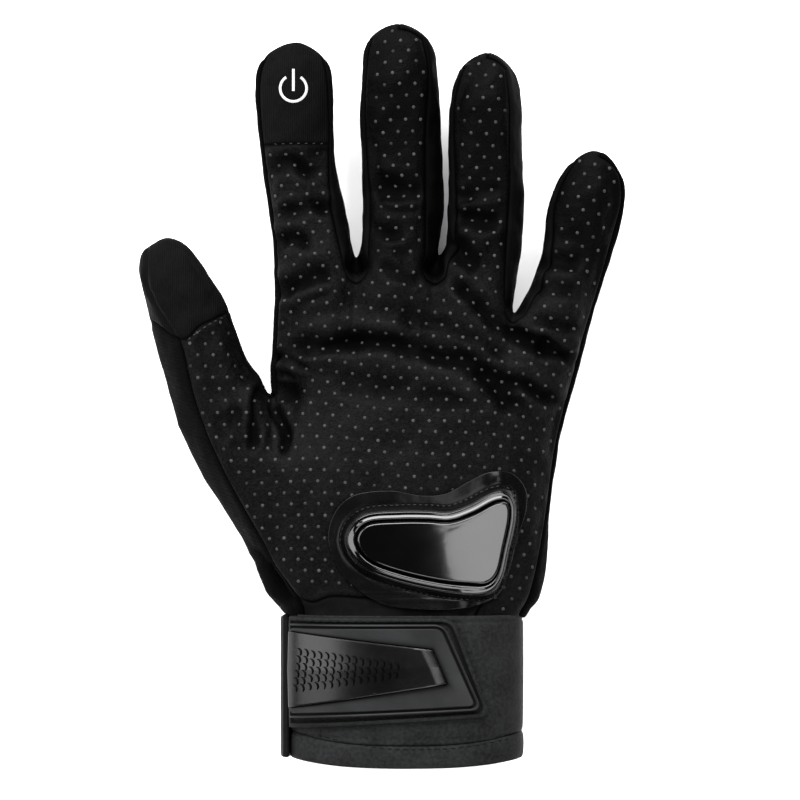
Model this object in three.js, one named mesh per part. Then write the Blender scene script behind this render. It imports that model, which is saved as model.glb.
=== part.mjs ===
// Left-hand full-finger riding glove with touch tips, a palm slider and a strapped cuff.
// It lies on its back with the palm up: +X runs to the little finger, +Y to the fingertips, +Z out of the palm.
// Units are millimetres.
import * as THREE from "three";

// Driving dimensions
const CLOTH = 1.5;
const CUFF_CLOTH = 2.6;
const SEAM_GAP = 0.36;
const REST_GAP = 0.35;
const SECTION_POWER = 2.4;
const BACK_ANGLE = 48;

// The skin is shaped from a block of cells: 11 across the palm, 9 rows up it and 2 through its thickness.
// Each finger grows out of 2 cells of its top row, and the thumb out of 4 rows of its left side.
const ACROSS = 11;
const PALM_ROWS = 9;
const FINGER_CELLS = 2;
const FINGER_PITCH = 3;
const THUMB_ROW = 1;
const THUMB_CELLS = 4;
const TIP_STATIONS = 2;
const CROWN_SHARE = 0.76;

// Palm rows from the wrist up, as far as the thumb's crotch. Face columns bound the palm panel, side columns the outline.
const palmRows = [
  { leftY: -70.9, rightY: -70.9, faceL: -26.6, faceR: 44.4, sideL: -31.4, sideR: 46.4, top: 37.6, bottom: 0.6 },
  { leftY: -65.6, rightY: -64.7, faceL: -27.6, faceR: 48.2, sideL: -37.8, sideR: 51.8, top: 36.6, bottom: -1.0 },
  { leftY: -51.2, rightY: -49.8, faceL: -30.2, faceR: 51.7, sideL: -56.0, sideR: 54.6, top: 36.5, bottom: -2.5 },
  { leftY: -34.0, rightY: -34.0, faceL: -32.8, faceR: 54.4, sideL: -62.0, sideR: 55.0, top: 36.5, bottom: -2.5 },
  { leftY: -16.8, rightY: -18.2, faceL: -34.8, faceR: 56.5, sideL: -56.0, sideR: 57.2, top: 35.0, bottom: -2.5 },
  { leftY: 0.4, rightY: -3.6, faceL: -36.3, faceR: 59.8, sideL: -37.1, sideR: 60.6, top: 33.0, bottom: -2.0 },
];
// How far up from the last palm row to the finger bases the remaining rows lie.
const UPPER_ROWS = [0.27, 0.52, 0.77];

// Finger bases: the palm panel's two corners, and the web or outline beside each at mid thickness.
const fingerBases = [
  { faceLX: -34.8, faceLY: 34.2, faceRX: -11.1, faceRY: 38.9, webLX: -35.5, webLY: 34.6, webRX: -10.3, webRY: 47.4 },
  { faceLX: -6.8, faceLY: 39.6, faceRX: 14.7, faceRY: 38.6, webLX: -7.9, webLY: 47.4, webRX: 17.5, webRY: 47.8 },
  { faceLX: 19.6, faceLY: 38.9, faceRX: 40.4, faceRY: 28.1, webLX: 20.0, webLY: 47.8, webRX: 43.0, webRY: 31.2 },
  { faceLX: 45.7, faceLY: 26.7, faceRX: 66.2, faceRY: 20.3, webLX: 45.5, webLY: 30.7, webRX: 67.2, webRY: 21.4 },
];
const BASE_TOP = 30;
const BASE_CORNER = 26.5;
const BASE_EDGE = 21.5;
const BASE_MIDDLE = 14;
const BASE_BOTTOM = -1;

// Stations up each finger: outline left and right, centre height, half thickness, and how far in each seam lies.
// Where an edge is given, the outline passes there instead, and the station's section slants.
const fingers = [
  {
    name: "index",
    apex: [-29.5, 116.2, 18.6],
    stations: [
      { leftX: -36.8, leftY: 54.5, rightX: -11.7, rightY: 57.0, z: 13.5, half: 11.5, seamL: 0.7, seamR: 4.2 },
      { leftX: -38.8, leftY: 69.5, rightX: -14.7, rightY: 70.5, z: 13.5, half: 11.0, seamL: 0.6, seamR: 2.9 },
      { leftX: -40.5, leftY: 83.0, rightX: -16.8, rightY: 83.3, z: 14.5, half: 10.7, seamL: 0.6, seamR: 0.9 },
      { leftX: -41.7, leftY: 102.0, rightX: -17.5, rightY: 102.0, z: 16.5, half: 10.2, seamL: 0.6, seamR: 0.7 },
      { leftX: -39.4, leftY: 111.5, rightX: -19.6, rightY: 111.5, z: 18.0, half: 7.0, seamL: 0.8, seamR: 0.8 },
    ],
  },
  {
    name: "middle",
    apex: [5.1, 122.3, 18.6],
    stations: [
      { leftX: -6.8, leftY: 60.0, rightX: 19.6, rightY: 60.0, z: 13.5, half: 11.7, seamL: 2.0, seamR: 5.6 },
      { leftX: -7.0, leftY: 76.0, rightX: 19.3, rightY: 76.0, z: 13.5, half: 11.2, seamL: 1.3, seamR: 5.4 },
      { leftX: -7.4, leftY: 92.0, rightX: 18.8, rightY: 92.0, z: 14.5, half: 10.9, seamL: 1.0, seamR: 4.6 },
      { leftX: -6.7, leftY: 107.0, rightX: 17.7, rightY: 107.0, z: 16.5, half: 10.4, seamL: 0.8, seamR: 2.7 },
      { leftX: -4.8, leftY: 117.5, rightX: 15.0, rightY: 117.5, z: 18.0, half: 7.0, seamL: 0.8, seamR: 2.4 },
    ],
  },
  {
    name: "ring",
    apex: [34.2, 112.8, 18.6],
    stations: [
      { leftX: 21.3, leftY: 56.5, rightX: 45.9, rightY: 52.0, z: 13.5, half: 11.3, seamL: 2.0, seamR: 5.2 },
      { leftX: 21.9, leftY: 70.5, rightX: 46.2, rightY: 68.5, z: 13.5, half: 10.9, seamL: 1.4, seamR: 4.5 },
      { leftX: 21.7, leftY: 85.0, rightX: 46.0, rightY: 84.0, z: 14.5, half: 10.6, seamL: 1.1, seamR: 4.4 },
      { leftX: 22.3, leftY: 98.5, rightX: 45.2, rightY: 98.0, z: 16.5, half: 10.1, seamL: 0.9, seamR: 3.6 },
      { leftX: 25.5, leftY: 108.3, rightX: 42.9, rightY: 107.7, z: 18.0, half: 6.8, seamL: 0.9, seamR: 2.8 },
    ],
  },
  {
    name: "little",
    apex: [71.4, 80.3, 18.0],
    stations: [
      { leftX: 52.3, leftY: 46.5, rightX: 72.9, rightY: 39.7, z: 13.5, half: 10.4, seamL: 2.4, seamR: 0.8 },
      { leftX: 54.5, leftY: 60.0, rightX: 76.8, rightY: 53.7, z: 14.0, half: 10.0, seamL: 1.2, seamR: 0.8 },
      { leftX: 57.9, leftY: 71.0, rightX: 79.5, rightY: 65.2, z: 15.8, half: 9.6, seamL: 0.9, seamR: 0.8 },
      { leftX: 62.5, leftY: 77.6, rightX: 78.8, rightY: 73.2, z: 17.4, half: 6.6, seamL: 0.8, seamR: 1.4 },
    ],
  },
];

const thumb = {
  apex: [-71.5, 52.7, 22.2],
  stations: [
    { leftX: -47.0, leftY: -46.5, rightX: -39.8, rightY: 3.6, z: 16.7, half: 17.0, seamL: 9.6, seamR: 1.0 },
    { leftX: -59.6, leftY: -26.6, rightX: -41.9, rightY: 7.6, z: 17.4, half: 15.0, seamL: 9.4, seamR: 0.8 },
    { leftX: -69.8, leftY: -2.6, rightX: -45.8, rightY: 13.8, z: 18.5, half: 13.2, seamL: 8.4, seamR: 0.7 },
    { leftX: -75.2, leftY: 14.2, rightX: -50.9, rightY: 28.0, z: 20.0, half: 12.3, seamL: 9.4, seamR: 0.7, edge: [-76.9, 25.4] },
    { leftX: -78.9, leftY: 33.0, rightX: -56.0, rightY: 37.6, z: 21.5, half: 11.3, seamL: 3.4, seamR: 0.8, edge: [-79.3, 36.0] },
    { leftX: -80.1, leftY: 45.5, rightX: -62.5, rightY: 46.8, z: 22.0, half: 7.5, seamL: 2.2, seamR: 0.9 },
  ],
};

// Main folds of the palm and fingers: from start through bend to end, with their depth and half width.
const folds = [
  { fromX: -33, fromY: 15, bendX: 4, bendY: 20, toX: 49, toY: -6, depth: 2.0, width: 3.2 },
  { fromX: 34, fromY: 8, bendX: 47, bendY: 5, toX: 58, toY: -3, depth: 1.6, width: 2.6 },
  { fromX: 22, fromY: 37, bendX: 28, bendY: 32, toX: 34, toY: 27, depth: 1.8, width: 2.8 },
  { fromX: -33, fromY: 34, bendX: -25, bendY: 41, toX: -17, toY: 43, depth: 1.5, width: 2.6 },
  { fromX: 48, fromY: 20, bendX: 55, bendY: 17, toX: 63, toY: 11, depth: 1.5, width: 2.6 },
  { fromX: -37, fromY: -3, bendX: -34, bendY: -11, toX: -32, toY: -19, depth: 2.0, width: 2.4 },
  { fromX: 52, fromY: 41, bendX: 60, bendY: 37, toX: 68, toY: 34, depth: 1.2, width: 2.2 },
  { fromX: -35, fromY: 66, bendX: -26, bendY: 64, toX: -18, toY: 62, depth: 1.2, width: 2.4 },
  { fromX: -5, fromY: 66, bendX: 5, bendY: 67, toX: 14, toY: 65, depth: 1.3, width: 2.6 },
  { fromX: 24, fromY: 60, bendX: 33, bendY: 61, toX: 41, toY: 58, depth: 1.3, width: 2.6 },
];

// Cuff: an oval tube whose wrist end bows out in the middle.
const cuff = {
  centreX: 7.55,
  centreZ: 19,
  halfWidth: 38.4,
  halfHeight: 19.6,
  power: 2.6,
  top: -71.3,
  hemSeam: -109.4,
  hemBow: 4.2,
  end: -118.3,
  bow: 2.8,
  sides: 32,
};
const flap = { fromAngle: 163.5, toAngle: 212, top: -71.5, end: -119.2, thickness: 2.7 };

// Strap: its left end starts at an angle round the cuff, and its right end is cut on a slant.
const strap = { fromAngle: 161.5, topLeft: -71.7, topRight: -71.7, bottomLeft: -108.4, bottomRight: -104.4,
  endTopX: 22.3, endBottomX: 34.1, corner: 0.14, thickness: 1.8 };
const plate = { fromAngle: 153, topLeft: -74.0, topRight: -73.8, bottomLeft: -104.9, bottomRight: -101.9,
  endTopX: 18.8, endBottomX: 30.2, corner: 0.16, thickness: 1.6 };
// The plate's raised wedge, highest at its ridge near the slanted end.
const wedge = { topLeft: -77.1, topRight: -82.5, bottomLeft: -101.6, bottomRight: -93.2,
  ridgeX: 12.0, endTopX: 15.0, endBottomX: 20.0, riseLeft: 0.7, riseRidge: 2.4 };

// Slider: outlines on the palm heel of its sewn skirt and of its top plate.
const skirtOutline = [
  [-18.0, -47.5], [-16.0, -37.6], [-9.5, -31.8], [2.0, -30.4], [12.0, -32.0], [20.3, -31.4], [27.9, -27.4],
  [35.1, -24.2], [42.0, -24.8], [46.6, -30.2], [46.8, -36.8], [44.6, -44.0], [43.0, -50.0], [40.8, -57.8], [37.0, -65.0],
  [26.0, -69.0], [8.0, -69.0], [-3.0, -66.4], [-12.5, -59.0],
];
const plateOutline = [
  [-8.6, -46.6], [-5.0, -41.6], [5.4, -40.6], [14.4, -40.6], [21.9, -40.9], [29.5, -38.4], [36.5, -34.8],
  [40.4, -34.9], [41.0, -39.5], [39.1, -48.8], [37.1, -56.8], [33.5, -60.4], [27.1, -60.5], [17.0, -59.3],
  [4.3, -56.3], [-4.6, -52.6],
];
const SLIDER_POINTS = 36;
const skirtRing = { edge: 0.9, inner: 1.3 };
// Rings of the slider's raised rim, from its foot in to the groove: distance outside the plate, and height.
const rimRings = [
  { out: 5.4, height: 1.6 },
  { out: 4.2, height: 3.6 },
  { out: 2.6, height: 4.7 },
  { out: 1.4, height: 4.6 },
  { out: 0.7, height: 3.4 },
];
const RIM_RIGHT = 0.52;
const GROOVE_FLOOR = 3.0;
const PLATE_RISE = 1.7;

const colours = {
  palm: { color: 0x161616, roughness: 0.62, metalness: 0 },
  mesh: { color: 0x101010, roughness: 0.85, metalness: 0 },
  gusset: { color: 0x121212, roughness: 0.75, metalness: 0 },
  touch: { color: 0x141414, roughness: 0.7, metalness: 0 },
  gloss: { color: 0x060606, roughness: 0.12, metalness: 0 },
  rubber: { color: 0x1c1e1f, roughness: 0.55, metalness: 0 },
  neoprene: { color: 0x131415, roughness: 0.7, metalness: 0 },
};

const mix = THREE.MathUtils.lerp;
const radians = THREE.MathUtils.degToRad;
const vector = (x, y, z) => new THREE.Vector3(x, y, z);

function signedPower(value, power) {
  return Math.sign(value) * Math.abs(value) ** power;
}

// Height, from 0 to 1, of a rounded section at a share of its half width.
function domeAt(share, power) {
  return Math.max(0, 1 - Math.min(1, Math.abs(share)) ** power) ** (1 / power);
}

// Skin: where each corner of the block of cells goes

function stationCorner(station, across, count, level) {
  const left = vector(station.leftX, station.leftY, station.z);
  const right = vector(station.rightX, station.rightY, station.z);
  const middle = left.clone().lerp(right, 0.5);
  const halfWidth = left.distanceTo(right) / 2;
  const outward = right.clone().sub(left).normalize();
  if (level === 1 && across === 0 && station.edge) return vector(...station.edge, station.z);
  if (level === 1) return across === 0 ? left : right;
  const angleAt = (inset) => Math.acos(signedPower(1 - inset / halfWidth, SECTION_POWER / 2));
  const fromAngle = level === 2 ? Math.PI - angleAt(station.seamL) : Math.PI + radians(BACK_ANGLE);
  const toAngle = level === 2 ? angleAt(station.seamR) : 2 * Math.PI - radians(BACK_ANGLE);
  const angle = mix(fromAngle, toAngle, across / count);
  const power = 2 / SECTION_POWER;
  return middle
    .addScaledVector(outward, halfWidth * signedPower(Math.cos(angle), power))
    .setZ(station.z + station.half * signedPower(Math.sin(angle), power));
}

function capCorner(limb, across, count) {
  const last = limb.stations.at(-1);
  const rise = Math.sin((Math.PI * across) / count);
  const left = vector(last.leftX, last.leftY, last.z);
  const right = vector(last.rightX, last.rightY, last.z);
  const chord = left.clone().lerp(right, across / count);
  const lift = vector(...limb.apex).sub(left.lerp(right, 0.5));
  return chord.addScaledVector(lift, rise);
}

// The front panel's round end, close to the tip's outline.
function crownCorner(limb) {
  const last = limb.stations.at(-1);
  const middle = vector((last.leftX + last.rightX) / 2, (last.leftY + last.rightY) / 2, last.z);
  const rise = last.half * Math.sqrt(1 - CROWN_SHARE ** 2);
  return middle.lerp(vector(...limb.apex), CROWN_SHARE).add(vector(0, 0, rise));
}

function baseCorner(finger, across, level) {
  const base = fingerBases[finger];
  const share = across / FINGER_CELLS;
  const face = vector(mix(base.faceLX, base.faceRX, share), mix(base.faceLY, base.faceRY, share), 0);
  const web = vector(mix(base.webLX, base.webRX, share), mix(base.webLY, base.webRY, share), BASE_MIDDLE);
  const crown = across === 1;
  const outermost = (finger === 0 && across === 0) || (finger === fingers.length - 1 && across === FINGER_CELLS);
  if (level === 2) return face.setZ(crown ? BASE_TOP : outermost ? BASE_EDGE : BASE_CORNER);
  if (level === 1) return web;
  return face.lerp(web, 0.7).setZ(crown ? BASE_BOTTOM : BASE_BOTTOM + 2.5);
}

function fingerOfColumn(i) {
  return Math.floor(i / FINGER_PITCH);
}

function columnShare(i) {
  const firstX = fingerBases[0].faceLX;
  const lastX = fingerBases.at(-1).faceRX;
  return (baseCorner(fingerOfColumn(i), i % FINGER_PITCH, 2).x - firstX) / (lastX - firstX);
}

function palmCorner(row, i, level) {
  const share = columnShare(i);
  const sideways = level === 1;
  const left = sideways ? row.sideL : row.faceL;
  const right = sideways ? row.sideR : row.faceR;
  const x = mix(left, right, share);
  const y = mix(row.leftY, row.rightY, share);
  const middleX = (row.sideL + row.sideR) / 2;
  const halfWidth = (row.sideR - row.sideL) / 2;
  const middleZ = (row.top + row.bottom) / 2;
  if (sideways) return vector(x, y, middleZ);
  const rise = ((row.top - row.bottom) / 2) * domeAt((x - middleX) / halfWidth, SECTION_POWER);
  return vector(x, y, level === 2 ? middleZ + rise : middleZ - rise);
}

function place(i, j, k) {
  if (i < 0) {
    const station = thumb.stations[-i - 1];
    const across = j - THUMB_ROW;
    const inCap = k === 1 && across > 0 && across < THUMB_CELLS;
    return inCap ? capCorner(thumb, across, THUMB_CELLS) : stationCorner(station, across, THUMB_CELLS, k);
  }
  const finger = fingerOfColumn(i);
  const across = i % FINGER_PITCH;
  if (j > PALM_ROWS) {
    const limb = fingers[finger];
    const station = limb.stations[j - PALM_ROWS - 1];
    if (k === 2 && across === 1 && station === limb.stations.at(-1)) return crownCorner(limb);
    return k === 1 && across === 1 ? capCorner(limb, 1, FINGER_CELLS) : stationCorner(station, across, FINGER_CELLS, k);
  }
  const upper = j - palmRows.length;
  if (upper < 0) return palmCorner(palmRows[j], i, k);
  const base = baseCorner(finger, across, k);
  if (upper === UPPER_ROWS.length) return base;
  return palmCorner(palmRows.at(-1), i, k).lerp(base, UPPER_ROWS[upper]);
}

// Skin: the block's outer faces, open at the wrist

function filled(i, j, k) {
  if (k < 0 || k > 1) return false;
  if (i < 0) return i >= -thumb.stations.length && j >= THUMB_ROW && j < THUMB_ROW + THUMB_CELLS;
  if (i >= ACROSS || j < 0) return false;
  if (j < PALM_ROWS) return true;
  const inFinger = i % FINGER_PITCH < FINGER_CELLS;
  return inFinger && j < PALM_ROWS + fingers[fingerOfColumn(i)].stations.length;
}

// The sewn panel that a face of the block belongs to. The step is the face's outward direction.
function panelOf(i, j, k, step) {
  const thumbTip = i < 0 && i < -thumb.stations.length + TIP_STATIONS;
  if (thumbTip && step[2] >= 0) return "thumb_touch_tip";
  if (step[2] < 0) return "back_panel";
  const finger = fingerOfColumn(i);
  const indexTip = i >= 0 && finger === 0 && j >= PALM_ROWS + fingers[0].stations.length - TIP_STATIONS;
  if (step[2] > 0) {
    if (indexTip) return "index_touch_tip";
    return j === 0 && i < ACROSS - 1 ? "heel_band" : "palm_panel";
  }
  if (i < 0) return step[1] > 0 ? "thumb_gusset" : "back_panel";
  if (indexTip && step[1] > 0 && k === 1) return "index_touch_tip";
  const tipLeft = j > PALM_ROWS && step[1] > 0 && k === 1 && i % FINGER_PITCH === 0;
  if (tipLeft) return "palm_panel";
  const web = j < PALM_ROWS && step[1] > 0;
  const tipRight = j > PALM_ROWS && step[1] > 0 && k === 1;
  const side = j >= PALM_ROWS && (step[0] !== 0 || tipRight);
  const outer = (finger === 0 && step[0] < 0) || (finger === fingers.length - 1 && (step[0] > 0 || tipRight));
  if (!(web || side) || outer) return "back_panel";
  const between = step[0] < 0 ? finger - 1 : finger;
  return `fourchette_${fingers[between].name}_${fingers[between + 1].name}`;
}

const STEPS = [
  { step: [1, 0, 0], corners: [[1, 0, 0], [1, 1, 0], [1, 1, 1], [1, 0, 1]] },
  { step: [-1, 0, 0], corners: [[0, 0, 0], [0, 0, 1], [0, 1, 1], [0, 1, 0]] },
  { step: [0, 1, 0], corners: [[0, 1, 0], [0, 1, 1], [1, 1, 1], [1, 1, 0]] },
  { step: [0, -1, 0], corners: [[0, 0, 0], [1, 0, 0], [1, 0, 1], [0, 0, 1]] },
  { step: [0, 0, 1], corners: [[0, 0, 1], [1, 0, 1], [1, 1, 1], [0, 1, 1]] },
  { step: [0, 0, -1], corners: [[0, 0, 0], [0, 1, 0], [1, 1, 0], [1, 0, 0]] },
];

function skinCage() {
  const points = [];
  const faces = [];
  const known = new Map();
  const corner = (i, j, k) => {
    const key = `${i},${j},${k}`;
    if (!known.has(key)) known.set(key, points.push(place(i, j, k)) - 1);
    return known.get(key);
  };
  const rowsUp = PALM_ROWS + Math.max(...fingers.map((limb) => limb.stations.length));
  for (let i = -thumb.stations.length; i < ACROSS; i++)
    for (let j = 0; j < rowsUp; j++)
      for (let k = 0; k < 2; k++) {
        if (!filled(i, j, k)) continue;
        for (const { step, corners } of STEPS) {
          const open = j === 0 && step[1] < 0 && i >= 0;
          if (open || filled(i + step[0], j + step[1], k + step[2])) continue;
          const ring = corners.map(([a, b, c]) => corner(i + a, j + b, k + c));
          faces.push({ ring, panel: panelOf(i, j, k, step) });
        }
      }
  return { points, faces };
}

// Smoothing: Catmull-Clark subdivision, and the surface it tends to

function neighbourhoods(points, faces) {
  const around = points.map(() => ({ edges: new Map(), faces: [], opposite: [] }));
  for (const face of faces)
    face.ring.forEach((a, n) => {
      const b = face.ring[(n + 1) % 4];
      const opposite = face.ring[(n + 2) % 4];
      const d = face.ring[(n + 3) % 4];
      around[a].faces.push(face);
      around[a].opposite.push(opposite);
      for (const other of [b, d]) around[a].edges.set(other, (around[a].edges.get(other) ?? 0) + 1);
    });
  return around;
}

function limitPoint(points, around, index) {
  const here = around[index];
  const rim = [...here.edges].filter(([, uses]) => uses === 1).map(([other]) => points[other]);
  if (rim.length === 2) return points[index].clone().multiplyScalar(4).add(rim[0]).add(rim[1]).divideScalar(6);
  const valence = here.edges.size;
  const sum = points[index].clone().multiplyScalar(valence * valence);
  for (const other of here.edges.keys()) sum.addScaledVector(points[other], 4);
  for (const other of here.opposite) sum.add(points[other]);
  return sum.divideScalar(valence * (valence + 5));
}

// Moves the cage until the smooth surface passes close to the places named in the tables.
function fitCage(cage, rounds) {
  const targets = cage.points.map((p) => p.clone());
  const around = neighbourhoods(cage.points, cage.faces);
  for (let n = 0; n < rounds; n++) {
    const limits = cage.points.map((p, index) => limitPoint(cage.points, around, index));
    cage.points.forEach((p, index) => p.add(targets[index]).sub(limits[index]));
  }
}

function subdivide(mesh) {
  const around = neighbourhoods(mesh.points, mesh.faces);
  const points = mesh.points.map((p, index) => {
    const here = around[index];
    const rim = [...here.edges].filter(([, uses]) => uses === 1).map(([other]) => mesh.points[other]);
    if (rim.length === 2) return p.clone().multiplyScalar(6).add(rim[0]).add(rim[1]).divideScalar(8);
    const valence = here.edges.size;
    const faceMean = vector(0, 0, 0);
    for (const face of here.faces) for (const corner of face.ring) faceMean.add(mesh.points[corner]);
    faceMean.divideScalar(4 * here.faces.length);
    const edgeMean = vector(0, 0, 0);
    for (const other of here.edges.keys()) edgeMean.add(mesh.points[other]).add(p);
    edgeMean.divideScalar(2 * valence);
    return faceMean.addScaledVector(edgeMean, 2).addScaledVector(p, valence - 3).divideScalar(valence);
  });
  const middles = mesh.faces.map(({ ring }) => {
    const middle = ring.reduce((sum, corner) => sum.add(mesh.points[corner]), vector(0, 0, 0)).divideScalar(4);
    return points.push(middle) - 1;
  });
  const edges = new Map();
  mesh.faces.forEach(({ ring }, n) =>
    ring.forEach((a, m) => {
      const b = ring[(m + 1) % 4];
      const key = a < b ? `${a},${b}` : `${b},${a}`;
      if (!edges.has(key)) edges.set(key, { a, b, sides: [] });
      edges.get(key).sides.push(middles[n]);
    }),
  );
  for (const edge of edges.values()) {
    const point = mesh.points[edge.a].clone().add(mesh.points[edge.b]);
    if (edge.sides.length === 2) point.add(points[edge.sides[0]]).add(points[edge.sides[1]]).divideScalar(4);
    else point.divideScalar(2);
    edge.index = points.push(point) - 1;
  }
  const edgeOf = (a, b) => edges.get(a < b ? `${a},${b}` : `${b},${a}`).index;
  const faces = mesh.faces.flatMap(({ ring, panel }, n) =>
    ring.map((a, m) => {
      const next = ring[(m + 1) % 4];
      const last = ring[(m + 3) % 4];
      return { ring: [a, edgeOf(a, next), middles[n], edgeOf(last, a)], panel };
    }),
  );
  return { points, faces };
}

function normalsOf(points, faces) {
  const normals = points.map(() => vector(0, 0, 0));
  for (const { ring } of faces) {
    const across = points[ring[2]].clone().sub(points[ring[0]]);
    const along = points[ring[3]].clone().sub(points[ring[1]]);
    const normal = across.cross(along);
    for (const corner of ring) normals[corner].add(normal);
  }
  return normals.map((normal) => normal.normalize());
}

// How deep the folds press the cloth in at a place on the palm side.
function foldDepth(x, y) {
  let depth = 0;
  for (const fold of folds) {
    const curve = new THREE.QuadraticBezierCurve3(
      vector(fold.fromX, fold.fromY, 0), vector(fold.bendX, fold.bendY, 0), vector(fold.toX, fold.toY, 0));
    let nearest = Infinity;
    let share = 0;
    for (let n = 0; n <= 12; n++) {
      const distance = curve.getPoint(n / 12).distanceTo(vector(x, y, 0));
      if (distance < nearest) [nearest, share] = [distance, n / 12];
    }
    const fade = Math.sin(Math.PI * mix(0.12, 0.88, share));
    depth += fold.depth * fade * Math.exp(-((nearest / fold.width) ** 2));
  }
  return depth;
}

function makeSkin() {
  const cage = skinCage();
  fitCage(cage, 8);
  const fine = subdivide(cage);
  const around = neighbourhoods(fine.points, fine.faces);
  fine.points = fine.points.map((p, index) => limitPoint(fine.points, around, index));
  const palmSide = new Set(
    fine.faces.filter(({ panel }) => panel === "palm_panel").flatMap(({ ring }) => ring));
  const smooth = normalsOf(fine.points, fine.faces);
  fine.points.forEach((p, index) => {
    if (palmSide.has(index)) p.addScaledVector(smooth[index], -foldDepth(p.x, p.y));
    p.z = Math.max(p.z, 0);
  });
  fine.normals = normalsOf(fine.points, fine.faces);
  return fine;
}

// Solids

function meshOf(name, finish, points, triangles) {
  const geometry = new THREE.BufferGeometry().setFromPoints(points);
  geometry.setIndex(triangles.flat());
  geometry.computeVertexNormals();
  const mesh = new THREE.Mesh(geometry, new THREE.MeshStandardMaterial(colours[finish]));
  mesh.name = name;
  return mesh;
}

function splitQuad([a, b, c, d]) {
  return [[a, b, c], [a, c, d]];
}

// One panel of the skin, thickened inwards and drawn back from its seams.
function panelSolid(skin, name, finish, thickness) {
  const faces = skin.faces.filter(({ panel }) => panel === name);
  const uses = new Map();
  const pull = new Map();
  for (const { ring } of faces) {
    const middle = ring.reduce((sum, corner) => sum.add(skin.points[corner]), vector(0, 0, 0)).divideScalar(4);
    ring.forEach((a, n) => {
      uses.set(`${a},${ring[(n + 1) % 4]}`, true);
      if (!pull.has(a)) pull.set(a, vector(0, 0, 0));
      pull.get(a).add(middle.clone().sub(skin.points[a]).normalize());
    });
  }
  const rimEdges = [...uses.keys()].map((key) => key.split(",").map(Number)).filter(([a, b]) => !uses.has(`${b},${a}`));
  const rim = new Set(rimEdges.flat());
  const order = [...pull.keys()];
  const indexOf = new Map(order.map((corner, n) => [corner, n]));
  const outer = order.map((corner) => {
    const point = skin.points[corner].clone();
    return rim.has(corner) ? point.addScaledVector(pull.get(corner).normalize(), SEAM_GAP) : point;
  });
  const inner = outer.map((point, n) => point.clone().addScaledVector(skin.normals[order[n]], -thickness));
  const under = order.length;
  const triangles = [];
  for (const { ring } of faces) {
    const quad = ring.map((corner) => indexOf.get(corner));
    triangles.push(...splitQuad(quad));
    for (const [a, b, c] of splitQuad(quad)) triangles.push([under + a, under + c, under + b]);
  }
  for (const [a, b] of rimEdges.map((edge) => edge.map((corner) => indexOf.get(corner))))
    triangles.push(...splitQuad([b, a, under + a, under + b]));
  return meshOf(name, finish, [...outer, ...inner], triangles);
}

// A solid lofted through rings of equal length, closed by fans or, for a tube, onto its first ring.
function loftSolid(name, finish, rings, tube) {
  const count = rings[0].length;
  const points = rings.flat();
  const triangles = [];
  const last = tube ? rings.length : rings.length - 1;
  for (let n = 0; n < last; n++)
    for (let m = 0; m < count; m++) {
      const next = (m + 1) % count;
      const here = n * count;
      const above = ((n + 1) % rings.length) * count;
      triangles.push(...splitQuad([here + m, here + next, above + next, above + m]));
    }
  if (!tube)
    for (const [ring, start, flip] of [[rings[0], 0, true], [rings.at(-1), points.length - count, false]]) {
      const middle = ring.reduce((sum, p) => sum.add(p), vector(0, 0, 0)).divideScalar(count);
      const hub = points.push(middle) - 1;
      for (let m = 0; m < count; m++) {
        const pair = [start + m, start + ((m + 1) % count)];
        triangles.push([hub, ...(flip ? pair.reverse() : pair)]);
      }
    }
  return meshOf(name, finish, points, triangles);
}

// A slab over a rectangle of shares, from its under to its upper surface.
function slabSolid(name, finish, along, across, pointAt) {
  const points = [];
  const index = (n, m, level) => (level * (along + 1) + n) * (across + 1) + m;
  for (const level of [0, 1])
    for (let n = 0; n <= along; n++)
      for (let m = 0; m <= across; m++) points.push(pointAt(n / along, m / across, level));
  const triangles = [];
  const quad = (...corners) => triangles.push(...splitQuad(corners));
  for (let n = 0; n < along; n++)
    for (let m = 0; m < across; m++) {
      quad(index(n, m, 1), index(n, m + 1, 1), index(n + 1, m + 1, 1), index(n + 1, m, 1));
      quad(index(n, m, 0), index(n + 1, m, 0), index(n + 1, m + 1, 0), index(n, m + 1, 0));
    }
  for (let n = 0; n < along; n++) {
    quad(index(n, 0, 0), index(n, 0, 1), index(n + 1, 0, 1), index(n + 1, 0, 0));
    quad(index(n, across, 0), index(n + 1, across, 0), index(n + 1, across, 1), index(n, across, 1));
  }
  for (let m = 0; m < across; m++) {
    quad(index(0, m, 0), index(0, m + 1, 0), index(0, m + 1, 1), index(0, m, 1));
    quad(index(along, m, 0), index(along, m, 1), index(along, m + 1, 1), index(along, m + 1, 0));
  }
  return meshOf(name, finish, points, triangles);
}

// Cuff: points at an angle round it, at a distance outside its outer face

function cuffPoint(angle, out, y) {
  const power = 2 / cuff.power;
  const x = cuff.centreX + (cuff.halfWidth + out) * signedPower(Math.cos(angle), power);
  const z = cuff.centreZ + (cuff.halfHeight + out) * signedPower(Math.sin(angle), power);
  return vector(x, y, Math.max(z, out < 0 ? -out : 0));
}

function cuffAngleAt(x) {
  return Math.acos(signedPower((x - cuff.centreX) / cuff.halfWidth, cuff.power / 2));
}

// How much of the ends' bow a place round the cuff has.
function cuffBow(angle) {
  return Math.sin(angle) ** 2;
}

function cuffTube(name, yFrom, yTo, bowFrom, bowTo, steps, outer, inner) {
  const ringAt = (out, share) =>
    Array.from({ length: cuff.sides }, (_, n) => {
      const angle = (2 * Math.PI * n) / cuff.sides;
      return cuffPoint(angle, out, mix(yFrom - bowFrom * cuffBow(angle), yTo - bowTo * cuffBow(angle), share));
    });
  const rings = [];
  for (let n = 0; n <= steps; n++) rings.push(ringAt(outer, n / steps));
  for (let n = steps; n >= 0; n--) rings.push(ringAt(-inner, n / steps));
  return loftSolid(name, "neoprene", rings, true);
}

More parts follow.
